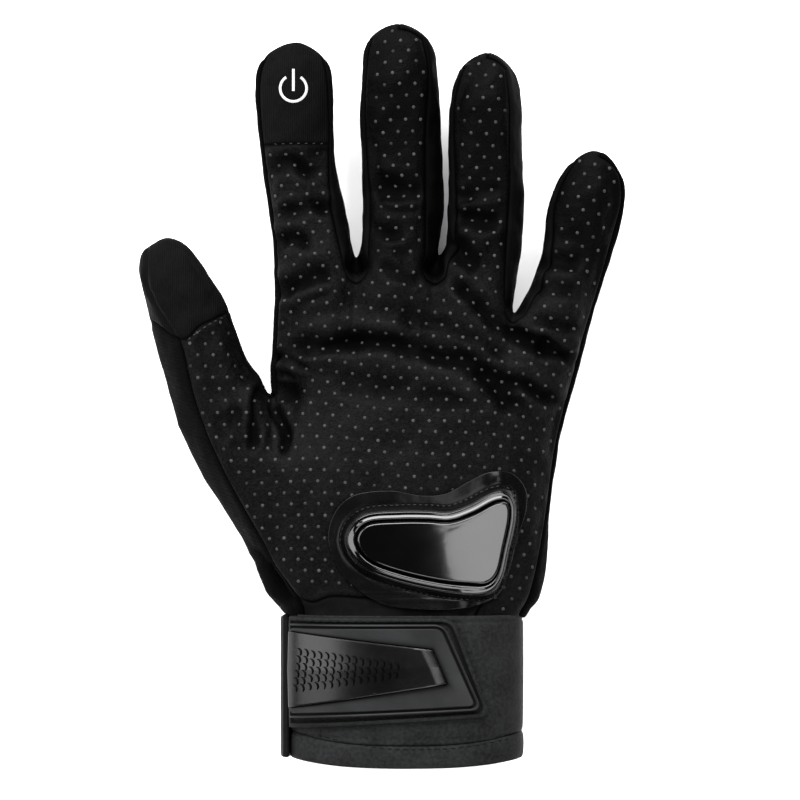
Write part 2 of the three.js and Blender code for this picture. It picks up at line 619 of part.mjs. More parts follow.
function makeCuff() {
  const band = cuffTube("cuff_band", cuff.top, cuff.hemSeam, 0, cuff.hemBow, 3, 0, CUFF_CLOTH);
  const hem = cuffTube("cuff_hem", cuff.hemSeam - SEAM_GAP, cuff.end, cuff.hemBow, cuff.bow, 1, 0, CUFF_CLOTH);
  const side = slabSolid("cuff_side_flap", "neoprene", 7, 3, (u, v, level) =>
    cuffPoint(radians(mix(flap.fromAngle, flap.toAngle, 1 - u)), REST_GAP + level * flap.thickness,
      mix(flap.end, flap.top, 1 - v)));
  return [band, hem, side];
}

// A place on a strap layer: shares run from the left end to the slanted end, and from top to bottom.
function strapPlace(layer, u, v) {
  const squeeze = (share) => Math.max(0, 1 - Math.abs(2 * share - 1) ** (1 / layer.corner)) ** layer.corner;
  const endX = mix(layer.endTopX, layer.endBottomX, v) - 9 * (1 - squeeze(mix(0.02, 0.98, v)));
  const fromX = cuffPoint(radians(layer.fromAngle), 0, 0).x;
  const x = mix(fromX, endX, u);
  const share = (x - fromX) / (layer.endBottomX - fromX);
  const y = mix(mix(layer.topLeft, layer.topRight, share), mix(layer.bottomLeft, layer.bottomRight, share), v);
  return { x, y };
}

function wedgeRise(x, y) {
  const share = THREE.MathUtils.clamp((x - -30) / (wedge.endBottomX - -30), 0, 1);
  const top = mix(wedge.topLeft, wedge.topRight, share);
  const bottom = mix(wedge.bottomLeft, wedge.bottomRight, share);
  const across = THREE.MathUtils.clamp((top - y) / (top - bottom), 0, 1);
  const endX = mix(wedge.endTopX, wedge.endBottomX, across);
  const inside = Math.min(1, (top - y) / 1.2, (y - bottom) / 1.2, (endX - x) / 1.2);
  if (inside <= 0) return 0;
  const fall = THREE.MathUtils.clamp((x - wedge.ridgeX) / (endX - wedge.ridgeX), 0, 1);
  return inside * mix(mix(wedge.riseLeft, wedge.riseRidge, share), wedge.riseLeft, fall);
}

function makeStrap() {
  const over = (layer, lift, rise) => (u, v, level) => {
    const { x, y } = strapPlace(layer, u, v);
    const height = lift + level * (layer.thickness + rise(x, y));
    return cuffPoint(cuffAngleAt(x), height, y);
  };
  const lower = REST_GAP;
  const upper = lower + strap.thickness + REST_GAP;
  return [
    slabSolid("closure_strap", "neoprene", 12, 5, over(strap, lower, () => 0)),
    slabSolid("strap_plate", "rubber", 12, 8, over(plate, upper, wedgeRise)),
  ];
}

// Slider: rings on the palm heel at heights above the cloth

function clothHeight(skin) {
  const faces = skin.faces.filter(({ panel }) => panel === "palm_panel" || panel === "heel_band");
  const triangles = faces.flatMap(({ ring }) => splitQuad(ring)).map((corners) => corners.map((n) => skin.points[n]));
  const flat = new THREE.Triangle();
  const weights = vector(0, 0, 0);
  return (x, y) => {
    let height = -Infinity;
    for (const [a, b, c] of triangles) {
      flat.set(vector(a.x, a.y, 0), vector(b.x, b.y, 0), vector(c.x, c.y, 0));
      if (!flat.getBarycoord(vector(x, y, 0), weights)) continue;
      if (Math.min(weights.x, weights.y, weights.z) < -1e-6) continue;
      height = Math.max(height, weights.x * a.z + weights.y * b.z + weights.z * c.z);
    }
    return height;
  };
}

function closedOutline(outline, count) {
  const curve = new THREE.CatmullRomCurve3(outline.map(([x, y]) => vector(x, y, 0)), true, "centripetal");
  const points = curve.getSpacedPoints(count).slice(0, count);
  return THREE.ShapeUtils.area(points) > 0 ? points : points.reverse();
}

function grown(points, distance, rightShare = 1) {
  return points.map((p, n) => {
    const along = points[(n + 1) % points.length].clone().sub(points.at(n - 1)).normalize();
    const reach = distance * mix(1, rightShare, Math.max(0, along.y) ** 2);
    return p.clone().add(vector(along.y, -along.x, 0).multiplyScalar(reach));
  });
}

function shrunk(points, share) {
  const middle = points.reduce((sum, p) => sum.add(p), vector(0, 0, 0)).divideScalar(points.length);
  return points.map((p) => middle.clone().lerp(p, share));
}

function makeSlider(skin) {
  const clothAt = clothHeight(skin);
  const raised = (points, height) => points.map((p) => vector(p.x, p.y, clothAt(p.x, p.y) + height));
  // Both outlines run the same way round from the left.
  const turned = (points) => {
    const start = points.reduce((best, p, n) => (p.x < points[best].x ? n : best), 0);
    return [...points.slice(start), ...points.slice(0, start)];
  };
  const skirt = turned(closedOutline(skirtOutline, SLIDER_POINTS));
  const top = turned(closedOutline(plateOutline, SLIDER_POINTS));
  const under = 0.65;
  const baseRings = [
    raised(shrunk(skirt, 0.34), under),
    raised(shrunk(skirt, 0.68), under),
    raised(skirt, under),
    raised(skirt, skirtRing.edge),
    raised(shrunk(skirt, 0.96), skirtRing.inner),
    ...rimRings.map(({ out, height }) => raised(grown(top, out, RIM_RIGHT), height)),
    raised(top, GROOVE_FLOOR),
    raised(shrunk(top, 0.5), GROOVE_FLOOR),
  ];
  const inset = grown(top, -0.3);
  const plateRings = [
    raised(shrunk(inset, 0.5), GROOVE_FLOOR + REST_GAP),
    raised(inset, GROOVE_FLOOR + REST_GAP),
    raised(inset, GROOVE_FLOOR + PLATE_RISE),
    raised(grown(inset, -0.8), GROOVE_FLOOR + PLATE_RISE + 0.4),
    raised(shrunk(grown(inset, -0.8), 0.5), GROOVE_FLOOR + PLATE_RISE + 0.7),
  ];
  return [
    loftSolid("slider_base", "gloss", baseRings, false),
    loftSolid("slider_plate", "gloss", plateRings, false),
  ];
}

const panelFinishes = {
  palm_panel: "palm",
  heel_band: "gusset",
  back_panel: "mesh",
  index_touch_tip: "touch",
  thumb_touch_tip: "touch",
  thumb_gusset: "gusset",
  fourchette_index_middle: "gusset",
  fourchette_middle_ring: "gusset",
  fourchette_ring_little: "gusset",
};

const skin = makeSkin();
const glove = new THREE.Group();
for (const [name, finish] of Object.entries(panelFinishes)) glove.add(panelSolid(skin, name, finish, CLOTH));
glove.add(...makeCuff(), ...makeStrap(), ...makeSlider(skin));

// The origin is the middle of the glove's box, on the floor.
const box = new THREE.Box3().setFromObject(glove, true);
const middle = box.getCenter(vector(0, 0, 0));
for (const piece of glove.children) piece.geometry.translate(-middle.x, -middle.y, -box.min.z);

export default glove;
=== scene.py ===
"""A left-hand riding glove that lies on its back: sewn skin, grip dots, heel slider, cuff and strap.

Laid out as a Blender add-on and run as a script. Tables are in millimetres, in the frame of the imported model.
"""
import math
from collections import namedtuple

import bmesh
import bpy
import numpy as np
from bpy.props import FloatProperty, FloatVectorProperty, IntProperty, PointerProperty
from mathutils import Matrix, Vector, noise
from mathutils.bvhtree import BVHTree
from mathutils.kdtree import KDTree


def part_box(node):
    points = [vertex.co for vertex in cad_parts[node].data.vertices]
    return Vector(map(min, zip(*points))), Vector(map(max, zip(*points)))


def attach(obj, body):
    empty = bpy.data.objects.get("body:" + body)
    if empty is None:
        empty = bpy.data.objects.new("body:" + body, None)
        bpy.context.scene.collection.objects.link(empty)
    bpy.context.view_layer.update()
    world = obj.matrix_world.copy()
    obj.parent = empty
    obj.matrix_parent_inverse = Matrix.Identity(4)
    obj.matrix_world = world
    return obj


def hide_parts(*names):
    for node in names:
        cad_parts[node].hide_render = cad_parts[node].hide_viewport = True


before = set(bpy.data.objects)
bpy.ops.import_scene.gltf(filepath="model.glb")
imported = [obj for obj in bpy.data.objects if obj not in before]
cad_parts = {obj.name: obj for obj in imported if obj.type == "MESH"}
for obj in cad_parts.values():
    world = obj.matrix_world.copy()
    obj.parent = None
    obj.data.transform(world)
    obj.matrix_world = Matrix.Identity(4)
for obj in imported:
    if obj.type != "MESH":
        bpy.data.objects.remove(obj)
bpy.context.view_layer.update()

bl_info = {
    "name": "Riding glove",
    "version": (1, 0, 0),
    "blender": (4, 5, 0),
    "location": "3D View > Sidebar > Glove",
    "description": "Builds a full-finger riding glove with touch tips, grip dots, a heel slider and a strapped cuff",
    "category": "Object",
}

MM = 0.001
BODY = "root"

# The skin is shaped from a block of cells: 11 across the palm, 9 rows up it and 2 through its thickness.
# Each finger grows out of 2 cells of its top row, and the thumb out of 4 rows of its left side.
ACROSS = 11
PALM_ROWS = 9
FINGER_CELLS = 2
FINGER_PITCH = 3
THUMB_ROW = 1
THUMB_CELLS = 4
TIP_STATIONS = 2
SECTION_POWER = 2.4
BACK_ANGLE = math.radians(48)

PalmRow = namedtuple("PalmRow", "left_y right_y face_l face_r side_l side_r top bottom")
PALM = [
    PalmRow(-70.9, -70.9, -26.6, 44.4, -31.4, 46.4, 37.6, 0.6),
    PalmRow(-65.6, -64.7, -27.6, 48.2, -37.8, 51.8, 36.6, -1.0),
    PalmRow(-51.2, -49.8, -30.2, 51.7, -56.0, 54.6, 36.5, -2.5),
    PalmRow(-34.0, -34.0, -32.8, 54.4, -62.0, 55.0, 36.5, -2.5),
    PalmRow(-16.8, -18.2, -34.8, 56.5, -56.0, 57.2, 35.0, -2.5),
    PalmRow(0.4, -3.6, -36.3, 59.8, -37.1, 60.6, 33.0, -2.0),
]
UPPER_ROWS = (0.27, 0.52, 0.77)

Base = namedtuple("Base", "face_lx face_ly face_rx face_ry web_lx web_ly web_rx web_ry")
FINGER_BASES = [
    Base(-34.8, 34.2, -11.1, 38.9, -35.5, 34.6, -10.3, 47.4),
    Base(-6.8, 39.6, 14.7, 38.6, -7.9, 47.4, 17.5, 47.8),
    Base(19.6, 38.9, 40.4, 28.1, 20.0, 47.8, 43.0, 31.2),
    Base(45.7, 26.7, 66.2, 20.3, 45.5, 30.7, 67.2, 21.4),
]
BASE_TOP, BASE_CORNER, BASE_EDGE, BASE_MIDDLE, BASE_BOTTOM = 30.0, 26.5, 21.5, 14.0, -1.0

# An edge, where one is given, is where the outline passes at the left of a station's slanted section.
Limb = namedtuple("Limb", "name apex stations")
Station = namedtuple("Station", "left_x left_y right_x right_y z half seam_l seam_r edge", defaults=(None,))
FINGERS = [
    Limb("index", (-29.5, 116.2, 18.6), [
        Station(-36.8, 54.5, -11.7, 57.0, 13.5, 11.5, 0.7, 4.2),
        Station(-38.8, 69.5, -14.7, 70.5, 13.5, 11.0, 0.6, 2.9),
        Station(-40.5, 83.0, -16.8, 83.3, 14.5, 10.7, 0.6, 0.9),
        Station(-41.7, 102.0, -17.5, 102.0, 16.5, 10.2, 0.6, 0.7),
        Station(-39.4, 111.5, -19.6, 111.5, 18.0, 7.0, 0.8, 0.8)]),
    Limb("middle", (5.1, 122.3, 18.6), [
        Station(-6.8, 60.0, 19.6, 60.0, 13.5, 11.7, 2.0, 5.6),
        Station(-7.0, 76.0, 19.3, 76.0, 13.5, 11.2, 1.3, 5.4),
        Station(-7.4, 92.0, 18.8, 92.0, 14.5, 10.9, 1.0, 4.6),
        Station(-6.7, 107.0, 17.7, 107.0, 16.5, 10.4, 0.8, 2.7),
        Station(-4.8, 117.5, 15.0, 117.5, 18.0, 7.0, 0.8, 2.4)]),
    Limb("ring", (34.2, 112.8, 18.6), [
        Station(21.3, 56.5, 45.9, 52.0, 13.5, 11.3, 2.0, 5.2),
        Station(21.9, 70.5, 46.2, 68.5, 13.5, 10.9, 1.4, 4.5),
        Station(21.7, 85.0, 46.0, 84.0, 14.5, 10.6, 1.1, 4.4),
        Station(22.3, 98.5, 45.2, 98.0, 16.5, 10.1, 0.9, 3.6),
        Station(25.5, 108.3, 42.9, 107.7, 18.0, 6.8, 0.9, 2.8)]),
    Limb("little", (71.4, 80.3, 18.0), [
        Station(52.3, 46.5, 72.9, 39.7, 13.5, 10.4, 2.4, 0.8),
        Station(54.5, 60.0, 76.8, 53.7, 14.0, 10.0, 1.2, 0.8),
        Station(57.9, 71.0, 79.5, 65.2, 15.8, 9.6, 0.9, 0.8),
        Station(62.5, 77.6, 78.8, 73.2, 17.4, 6.6, 0.8, 1.4)]),
]
THUMB = Limb("thumb", (-71.5, 52.7, 22.2), [
    Station(-47.0, -46.5, -39.8, 3.6, 16.7, 17.0, 9.6, 1.0),
    Station(-59.6, -26.6, -41.9, 7.6, 17.4, 15.0, 9.4, 0.8),
    Station(-69.8, -2.6, -45.8, 13.8, 18.5, 13.2, 8.4, 0.7),
    Station(-75.2, 14.2, -50.9, 28.0, 20.0, 12.3, 9.4, 0.7, (-76.9, 25.4)),
    Station(-78.9, 33.0, -56.0, 37.6, 21.5, 11.3, 3.4, 0.8, (-79.3, 36.0)),
    Station(-80.1, 45.5, -62.5, 46.8, 22.0, 7.5, 2.2, 0.9)])
CROWN_SHARE = 0.76

PANELS = ["palm_panel", "heel_band", "back_panel", "index_touch_tip", "thumb_touch_tip", "thumb_gusset",
          "fourchette_index_middle", "fourchette_middle_ring", "fourchette_ring_little"]
PANEL_SLOTS = {"palm_panel": "palm_cloth", "back_panel": "back_knit", "index_touch_tip": "touch_cloth",
               "thumb_touch_tip": "touch_cloth"}

# Creases pressed into the palm side: depth, half width and path.
Crease = namedtuple("Crease", "depth width path")
CREASES = [
    Crease(2.3, 2.3, [(-35.1, 13.1), (-28.5, 15.7), (-20.7, 17.6), (-8.9, 18.9), (2.8, 17.6), (14.6, 15),
        (21.5, 13.1), (28.3, 8.8), (36.2, 3.3), (44, -3.9), (49.9, -8.8)]),
    Crease(1.9, 1.9, [(24.4, 14.7), (32.2, 9.5), (39.1, 6.2), (47, 3.6), (52.8, -0), (57.7, -2.3)]),
    Crease(0.9, 2.6, [(-3.7, 29.1), (6.8, 27.1), (18.5, 22.5), (30.3, 17.3), (42, 11.4)]),
    Crease(0.8, 3.0, [(-17.4, 4.9), (-1.1, 3.6), (15.2, 1), (28.3, -3.6)]),
    Crease(1.9, 1.8, [(22.5, 39.6), (25.7, 35), (30.3, 31.1), (34.2, 27.1), (39.5, 23.2), (44.7, 19.3),
        (51.2, 15.7), (58.4, 11.8)]),
    Crease(2.4, 2.2, [(22.5, 52.1), (24.5, 48.2), (27.7, 44.9), (31.7, 42.3)]),
    Crease(1.9, 2.0, [(25.1, 60.3), (29.7, 58.7), (33.6, 57.4), (38.2, 58.7)]),
    Crease(1.0, 1.6, [(24.5, 67.2), (30.4, 66.5), (38.9, 67.8)]),
    Crease(2.5, 2.1, [(-34.2, 33.4), (-30.6, 36.3), (-26.3, 38.9), (-21.7, 40.9), (-16.2, 41.2)]),
    Crease(0.9, 1.5, [(-32.5, 25.9), (-28.6, 29.8), (-23.4, 32.4), (-17.5, 33.7)]),
    Crease(1.6, 1.6, [(-37.9, 75.1), (-33.3, 76.7), (-28.7, 76.7), (-24.1, 74.4), (-20.1, 75.1)]),
    Crease(1.6, 1.7, [(-35.2, 60.7), (-29.3, 61), (-23.4, 62.6), (-18.8, 61.7), (-16.2, 59.4)]),
    Crease(1.6, 1.6, [(-35.9, 50.8), (-31.9, 52.1), (-28, 51.8), (-24.7, 50.2)]),
    Crease(1.8, 2.4, [(-4.4, 67.9), (0.2, 68.5), (6.1, 67.9), (13.3, 68.5)]),
    Crease(0.8, 0.9, [(-2.4, 61.7), (4.1, 60.7), (12.7, 61)]),
    Crease(1.4, 1.6, [(-4.4, 56.1), (-1.1, 54.4), (2.8, 53.5), (6.8, 54.4)]),
    Crease(1.1, 1.4, [(-1.8, 43.6), (2.8, 41.6), (7.4, 40), (13.3, 38.3)]),
    Crease(0.8, 1.0, [(2.8, 48.2), (6.1, 46.2), (7.4, 43.6), (10, 42.9)]),
    Crease(1.5, 1.8, [(49.4, 35.1), (54, 36.1), (58.6, 35.1), (64.5, 34.5)]),
    Crease(1.2, 1.5, [(49.4, 25.9), (54, 24.6), (58.6, 23.3), (63.2, 23.3)]),
    Crease(1.4, 1.8, [(50.7, 43.6), (55.3, 45), (59.9, 44), (65.2, 45.6)]),
    Crease(1.7, 1.6, [(49.4, 18.7), (53.3, 16.7), (57.2, 14.1), (62.5, 11.5)]),
    Crease(2.0, 1.3, [(-39.4, 4.4), (-41.6, -1.0), (-42.6, -6.9), (-43.0, -12.4), (-43.4, -18.4)]),
    Crease(1.9, 1.1, [(-36.8, -1.5), (-34.8, -5.0), (-33.0, -9.0), (-32.2, -13.6), (-31.8, -18.8)]),
    Crease(0.9, 1.6, [(-47.6, -2.3), (-48.3, -7.5), (-47, -13.4), (-48.3, -18)]),
    Crease(0.7, 1.5, [(-52.9, -4.9), (-52.9, -10.2), (-50.9, -15.4)]),
    Crease(1.0, 1.0, [(-37.1, 13.1), (-33.2, 12.8), (-28.6, 11.4), (-25.3, 8.8)]),
    Crease(0.7, 0.9, [(-35.1, 8.2), (-31.9, 8.2), (-28.6, 6.2)]),
    Crease(2.6, 1.5, [(-43.5, -50.5), (-39.9, -54.6), (-37.2, -58.4), (-34.5, -62.0), (-32.0, -65.4),
        (-30.2, -68.0)]),
    Crease(0.7, 0.6, [(-77.3, 51.5), (-77.6, 44.3), (-76.9, 37.1), (-74.6, 30.5), (-70.7, 24), (-66.8, 18.4)]),
]
# Round hollows pressed into the palm side: middle, radius and depth.
Hollow = namedtuple("Hollow", "x y radius depth")
HOLLOWS = [
    Hollow(-31.0, 1.6, 3.0, 2.6),
    Hollow(-8.8, 43.6, 3.0, 2.8),
    Hollow(16.0, 42.8, 3.0, 2.8),
    Hollow(43.2, 29.6, 2.4, 2.4),
    Hollow(-27.0, 76.0, 3.0, 1.2),
    Hollow(34.0, 57.4, 2.6, 1.1),
    Hollow(-20.0, 62.5, 2.4, 0.9),
    Hollow(26.0, 47.5, 3.0, 1.2),
]

Cuff = namedtuple("Cuff", "centre_x centre_z half_width half_height power top hem_seam hem_bow end bow")
CUFF = Cuff(7.55, 19.0, 38.4, 19.6, 2.6, -71.3, -109.4, 4.2, -118.3, 2.8)
# The skin's edge at the wrist, and how far it laps over the cuff
WRIST_Y, WRIST_LAP = -71.0, 1.2
# How far the hem's lap lies in behind the band, and the heights of its rows over the seam
HEM_TUCK, HEM_LAP = 1.0, (2.0, 1.2, 0.1)
STITCH_Y, STITCH_BOW = -110.2, 1.4
Flap = namedtuple("Flap", "from_angle to_angle top end thickness")
FLAP = Flap(163.5, 212, -71.5, -119.2, 2.7)

Layer = namedtuple("Layer", "from_angle top_left top_right bottom_left bottom_right end_top_x end_bottom_x corner")
STRAP = Layer(161.5, -71.7, -71.7, -108.4, -104.4, 22.3, 34.1, 4.6)
PLATE = Layer(153, -74.0, -73.8, -104.9, -101.9, 18.8, 30.2, 3.6)
WEDGE = Layer(153, -76.2, -81.8, -101.8, -93.4, 15.4, 19.9, 0.4)
# Cross sections of the strap and of its plate, from the outer edge in: inset, height and how much painted shade each
# ring gets in its grooves.
STRAP_RISE = [(0.3, 0.0, 1), (0.0, 0.4, 1), (0.05, 1.1, 0.5), (0.4, 1.6, 0), (1.0, 1.8, 0), (1.45, 1.75, 0.2),
              (1.7, 1.1, 1), (2.2, 0.9, 1), (2.5, 1.0, 0.6), (3.0, 1.05, 0), (4.0, 1.1, 0)]
PLATE_RISE = [(0.15, 0.0, 1), (0.0, 0.3, 1), (0.0, 0.9, 0.4), (0.2, 1.2, 0), (0.45, 1.3, 0), (0.65, 1.2, 0.2),
              (0.8, 0.6, 1), (0.95, 0.35, 1), (1.4, 0.35, 1), (1.55, 1.15, 0.3), (1.8, 1.35, 0)]
STRAP_BASE, PLATE_BASE = 0.35, 2.5
WEDGE_RIDGE = 3.8
REST_GAP = 0.35

SKIRT_OUTLINE = [
    (-18.0, -47.5), (-16.0, -37.6), (-9.5, -31.8), (2.0, -30.4), (12.0, -32.0), (20.3, -31.4), (27.9, -27.4),
    (35.1, -24.2), (42.0, -24.8), (46.6, -30.2), (46.8, -36.8), (44.6, -44.0), (43.0, -50.0), (40.8, -57.8),
    (37.0, -65.0), (26.0, -69.0), (8.0, -69.0), (-3.0, -66.4), (-12.5, -59.0)]
PLATE_OUTLINE = [
    (-8.6, -46.6), (-5.0, -41.6), (5.4, -40.6), (14.4, -40.6), (21.9, -40.9), (29.5, -38.4), (36.5, -34.8),
    (40.4, -34.9), (41.0, -39.5), (39.1, -48.8), (37.1, -56.8), (33.5, -60.4), (27.1, -60.5), (17.0, -59.3),
    (4.3, -56.3), (-4.6, -52.6)]

# Where the tables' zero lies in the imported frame: the cuff's left side and top edge show it.
CUFF_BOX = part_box("cuff_band")
SHIFT = np.array([
    CUFF_BOX[0][0] / MM - (CUFF.centre_x - CUFF.half_width),
    CUFF_BOX[1][1] / MM - CUFF.top,
    0.0])


# Small helpers

def mix(a, b, share):
    return a + (b - a) * share


def smoothstep(low, high, value):
    share = np.clip((value - low) / (high - low), 0.0, 1.0)
    return share * share * (3 - 2 * share)


def signed_power(value, power):
    return np.sign(value) * np.abs(value) ** power


def deselect():
    for thing in bpy.context.selected_objects:
        thing.select_set(False)


def activate(piece):
    deselect()
    piece.select_set(True)
    bpy.context.view_layer.objects.active = piece


def coords(piece):
    """The piece's points in millimetres of the tables."""
    return raw_coords(piece) / MM - SHIFT


def set_coords(piece, points):
    set_raw_coords(piece, (points + SHIFT) * MM)


def raw_coords(piece):
    data = np.empty(len(piece.data.vertices) * 3)
    piece.data.vertices.foreach_get("co", data)
    return data.reshape(-1, 3)


def set_raw_coords(piece, points):
    piece.data.vertices.foreach_set("co", points.ravel())
    piece.data.update()


def normals(piece):
    data = np.empty(len(piece.data.vertices) * 3)
    piece.data.vertex_normals.foreach_get("vector", data)
    return data.reshape(-1, 3)


def select_faces(piece, test):
    """In edit mode, selects the faces whose middle and normal pass the test, and no others."""
    mesh = bmesh.from_edit_mesh(piece.data)
    mesh.select_mode = {"FACE"}
    for face in mesh.faces:
        face.select_set(False)
    for face in mesh.faces:
        if test(face.calc_center_median(), face.normal):
            face.select_set(True)
    mesh.select_flush_mode()
    bmesh.update_edit_mesh(piece.data)


def smooth_shade(piece):
    activate(piece)
    bpy.ops.object.shade_smooth()


def edit_all():
    """Opens the active piece for editing, with everything selected."""
    bpy.ops.object.mode_set(mode="EDIT")
    bpy.ops.mesh.select_all(action="SELECT")


def leave_edit():
    bpy.ops.object.mode_set(mode="OBJECT")


def extrude(step):
    bpy.ops.mesh.extrude_region_move(TRANSFORM_OT_translate={"value": step})


def apply_modifier(piece, kind, **settings):
    activate(piece)
    modifier = piece.modifiers.new(kind.lower(), kind)
    for key, value in settings.items():
        setattr(modifier, key, value)
    bpy.ops.object.modifier_apply(modifier=modifier.name)


def smooth_levels(piece, levels):
    apply_modifier(piece, "SUBSURF", levels=levels, render_levels=levels)


def make_sheet(name, points, wrapped=False, caps=(), hollow=None):
    """A grid primitive whose points are laid out as rows and columns, joined round where it is wrapped.

    It can carry how much painted shade each row gets, for the finishes to read.
    """
    rows, columns = points.shape[:2]
    deselect()
    bpy.ops.mesh.primitive_grid_add(x_subdivisions=columns - 1, y_subdivisions=rows - 1, size=1)
    piece = bpy.context.object
    piece.name = piece.data.name = name
    flat = raw_coords(piece)
    column = np.rint((flat[:, 0] + 0.5) * (columns - 1)).astype(int)
    row = np.rint((flat[:, 1] + 0.5) * (rows - 1)).astype(int)
    set_coords(piece, points[row, column])
    if hollow is not None:
        piece.data.attributes.new("hollow", "FLOAT", "POINT").data.foreach_set("value", np.array(hollow)[row])
    if wrapped:
        edit_all()
        bpy.ops.mesh.remove_doubles(threshold=1e-6)
        for cap in caps:
            close_ring(piece, points[cap])
        bpy.ops.mesh.select_all(action="SELECT")
        bpy.ops.mesh.normals_make_consistent(inside=False)
        leave_edit()
    return piece


def close_ring(piece, ring):
    """In edit mode, fills the open ring that lies on these points."""
    mesh = bmesh.from_edit_mesh(piece.data)
    tree = KDTree(len(ring))
    for n, point in enumerate(ring):
        tree.insert((point + SHIFT) * MM, n)
    tree.balance()
    mesh.select_mode = {"VERT", "EDGE"}
    for vert in mesh.verts:
        vert.select_set(False)
    for edge in mesh.edges:
        edge.select_set(False)
    for edge in mesh.edges:
        if edge.is_boundary and all(tree.find(v.co)[2] < 1e-6 for v in edge.verts):
            edge.select_set(True)
    bmesh.update_edit_mesh(piece.data)
    bpy.ops.mesh.edge_face_add()


def copies(name, model, places):
    """One mesh of copies of a small model: each place is a 3x3 matrix of its axes and a point, in millimetres."""
    base = raw_coords(model)
    faces = [tuple(p.vertices) for p in model.data.polygons]
    points = np.concatenate([base @ axes.T + at for axes, at in places])
    count = len(base)
    mesh = bpy.data.meshes.new(name)
    mesh.from_pydata(
        ((points + SHIFT) * MM).tolist(), [],
        [tuple(v + n * count for v in face) for n in range(len(places)) for face in faces])
    mesh.update()
    piece = bpy.data.objects.new(name, mesh)
    bpy.context.collection.objects.link(piece)
    bpy.data.objects.remove(model)
    smooth_shade(piece)
    return piece


def finish_piece(piece, slot, material, *nodes):
    piece.data.materials.clear()
    piece.data.materials.append(material)
    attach(piece, BODY)
    if nodes:
        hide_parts(*nodes)
    return piece


# Shader language

MATERIALS = {}


class Value:
    """A socket that takes part in Python arithmetic."""

    def __init__(self, shader, socket):
        self.shader = shader
        self.socket = socket

    def _math(self, operation, other, swapped=False):
        pair = (other, self) if swapped else (self, other)
        return self.shader.node("ShaderNodeMath", {"operation": operation}, {0: pair[0], 1: pair[1]})

    def __add__(self, other):
        return self._math("ADD", other)

    def __radd__(self, other):
        return self._math("ADD", other, True)

    def __sub__(self, other):
        return self._math("SUBTRACT", other)

    def __rsub__(self, other):
        return self._math("SUBTRACT", other, True)

    def __mul__(self, other):
        return self._math("MULTIPLY", other)

    def __rmul__(self, other):
        return self._math("MULTIPLY", other, True)


class Shader:
    """A material, filed by its name, whose nodes come from one method."""

    def __init__(self, name, **constants):
        material = MATERIALS[name] = bpy.data.materials.new(name)
        material.use_nodes = True
        self.tree = material.node_tree
        self.surface = self.tree.nodes["Principled BSDF"]
        for key, value in constants.items():
            self.surface.inputs[key.replace("_", " ")].default_value = value

    def node(self, kind, settings=None, inputs=None, output=0):
        made = self.tree.nodes.new(kind)
        for key, value in (settings or {}).items():
            if key == "stops":
                self._stops(made.color_ramp, value)
            else:
                setattr(made, key, value)
        for key, value in (inputs or {}).items():
            self.feed(made.inputs[key], value)
        return Value(self, made.outputs[output])

    def _stops(self, ramp, stops):
        while len(ramp.elements) < len(stops):
            ramp.elements.new(0.5)
        for element, (position, level) in zip(ramp.elements, stops):
            element.position = position
            element.color = (level, level, level, 1)

    def feed(self, socket, value):
        if isinstance(value, Value):
            self.tree.links.new(value.socket, socket)
        else:
            socket.default_value = value

    def attribute(self, name):
        """A value that the piece's points carry."""
        return self.node("ShaderNodeAttribute", {"attribute_name": name}, output="Fac")

    def place(self):
        return self.node("ShaderNodeTexCoord", output="Object")

    def axes(self):
        """The place's three coordinates in millimetres."""
        split = self.tree.nodes.new("ShaderNodeSeparateXYZ")
        self.feed(split.inputs[0], self.place())
        return [Value(self, split.outputs[n]) * (1 / MM) for n in range(3)]

    def grain(self, size_mm, detail=2.0):
        """Noise whose lumps are about this size."""
        return self.node("ShaderNodeTexNoise", {}, {
            "Vector": self.place(), "Scale": 1 / (size_mm * MM), "Detail": detail})

    def cells(self, size_mm):
        return self.node("ShaderNodeTexVoronoi", {}, {"Vector": self.place(), "Scale": 1 / (size_mm * MM)})

    def wave(self, phase):
        return self.node("ShaderNodeMath", {"operation": "SINE"}, {0: phase})

    def ramp(self, value, stops):
        return self.node("ShaderNodeValToRGB", {"stops": stops}, {"Fac": value})

    def span(self, axis, stops):
        """A ramp along an axis over the 100 mm about the middle."""
        return self.ramp(axis * 0.01 + 0.5, stops)

    def patches(self, size_mm, detail=2.0):
        """Noise with more contrast."""
        return self.ramp(self.grain(size_mm, detail), [(0.35, 0.0), (0.65, 1.0)])

    def blend(self, share, first, second):
        mixed = self.tree.nodes.new("ShaderNodeMix")
        mixed.data_type = "RGBA"
        self.feed(mixed.inputs["Factor"], share)
        self.feed(mixed.inputs["A"], (*first, 1) if isinstance(first, tuple) else first)
        self.feed(mixed.inputs["B"], (*second, 1) if isinstance(second, tuple) else second)
        return Value(self, mixed.outputs["Result"])

    def bump(self, height, depth_mm):
        self.feed(self.surface.inputs["Normal"], self.node("ShaderNodeBump", {}, {
            "Height": height, "Distance": depth_mm * MM, "Strength": 1.0}))

    def paint(self, share, colour, low, high, roughness):
        """Sets the colour, from a low to a high multiple of one colour, and the roughness."""
        first, second = (tuple(min(1.0, c * factor) for c in colour) for factor in (low, high))
        self.feed(self.surface.inputs["Base Color"], self.blend(share, first, second))
        self.feed(self.surface.inputs["Roughness"], roughness)


def tone(level, warmth=0.0):
    return (level * (1 + warmth), level, level * (1 - warmth))


WHITE = tone(1.0)


# Sizes and colours that a user may change

def length_property(name, description, default, low, high):
    return FloatProperty(name=name, description=description + " in millimetres", default=default, min=low, max=high)


def level_property(name, description, default):
    return IntProperty(name=name, description=description, default=default, min=1, max=4)


def colour_property(name, description, default):
    return FloatVectorProperty(name=name, description="Colour of " + description, subtype="COLOR", size=3,
                               default=default, min=0, max=1)


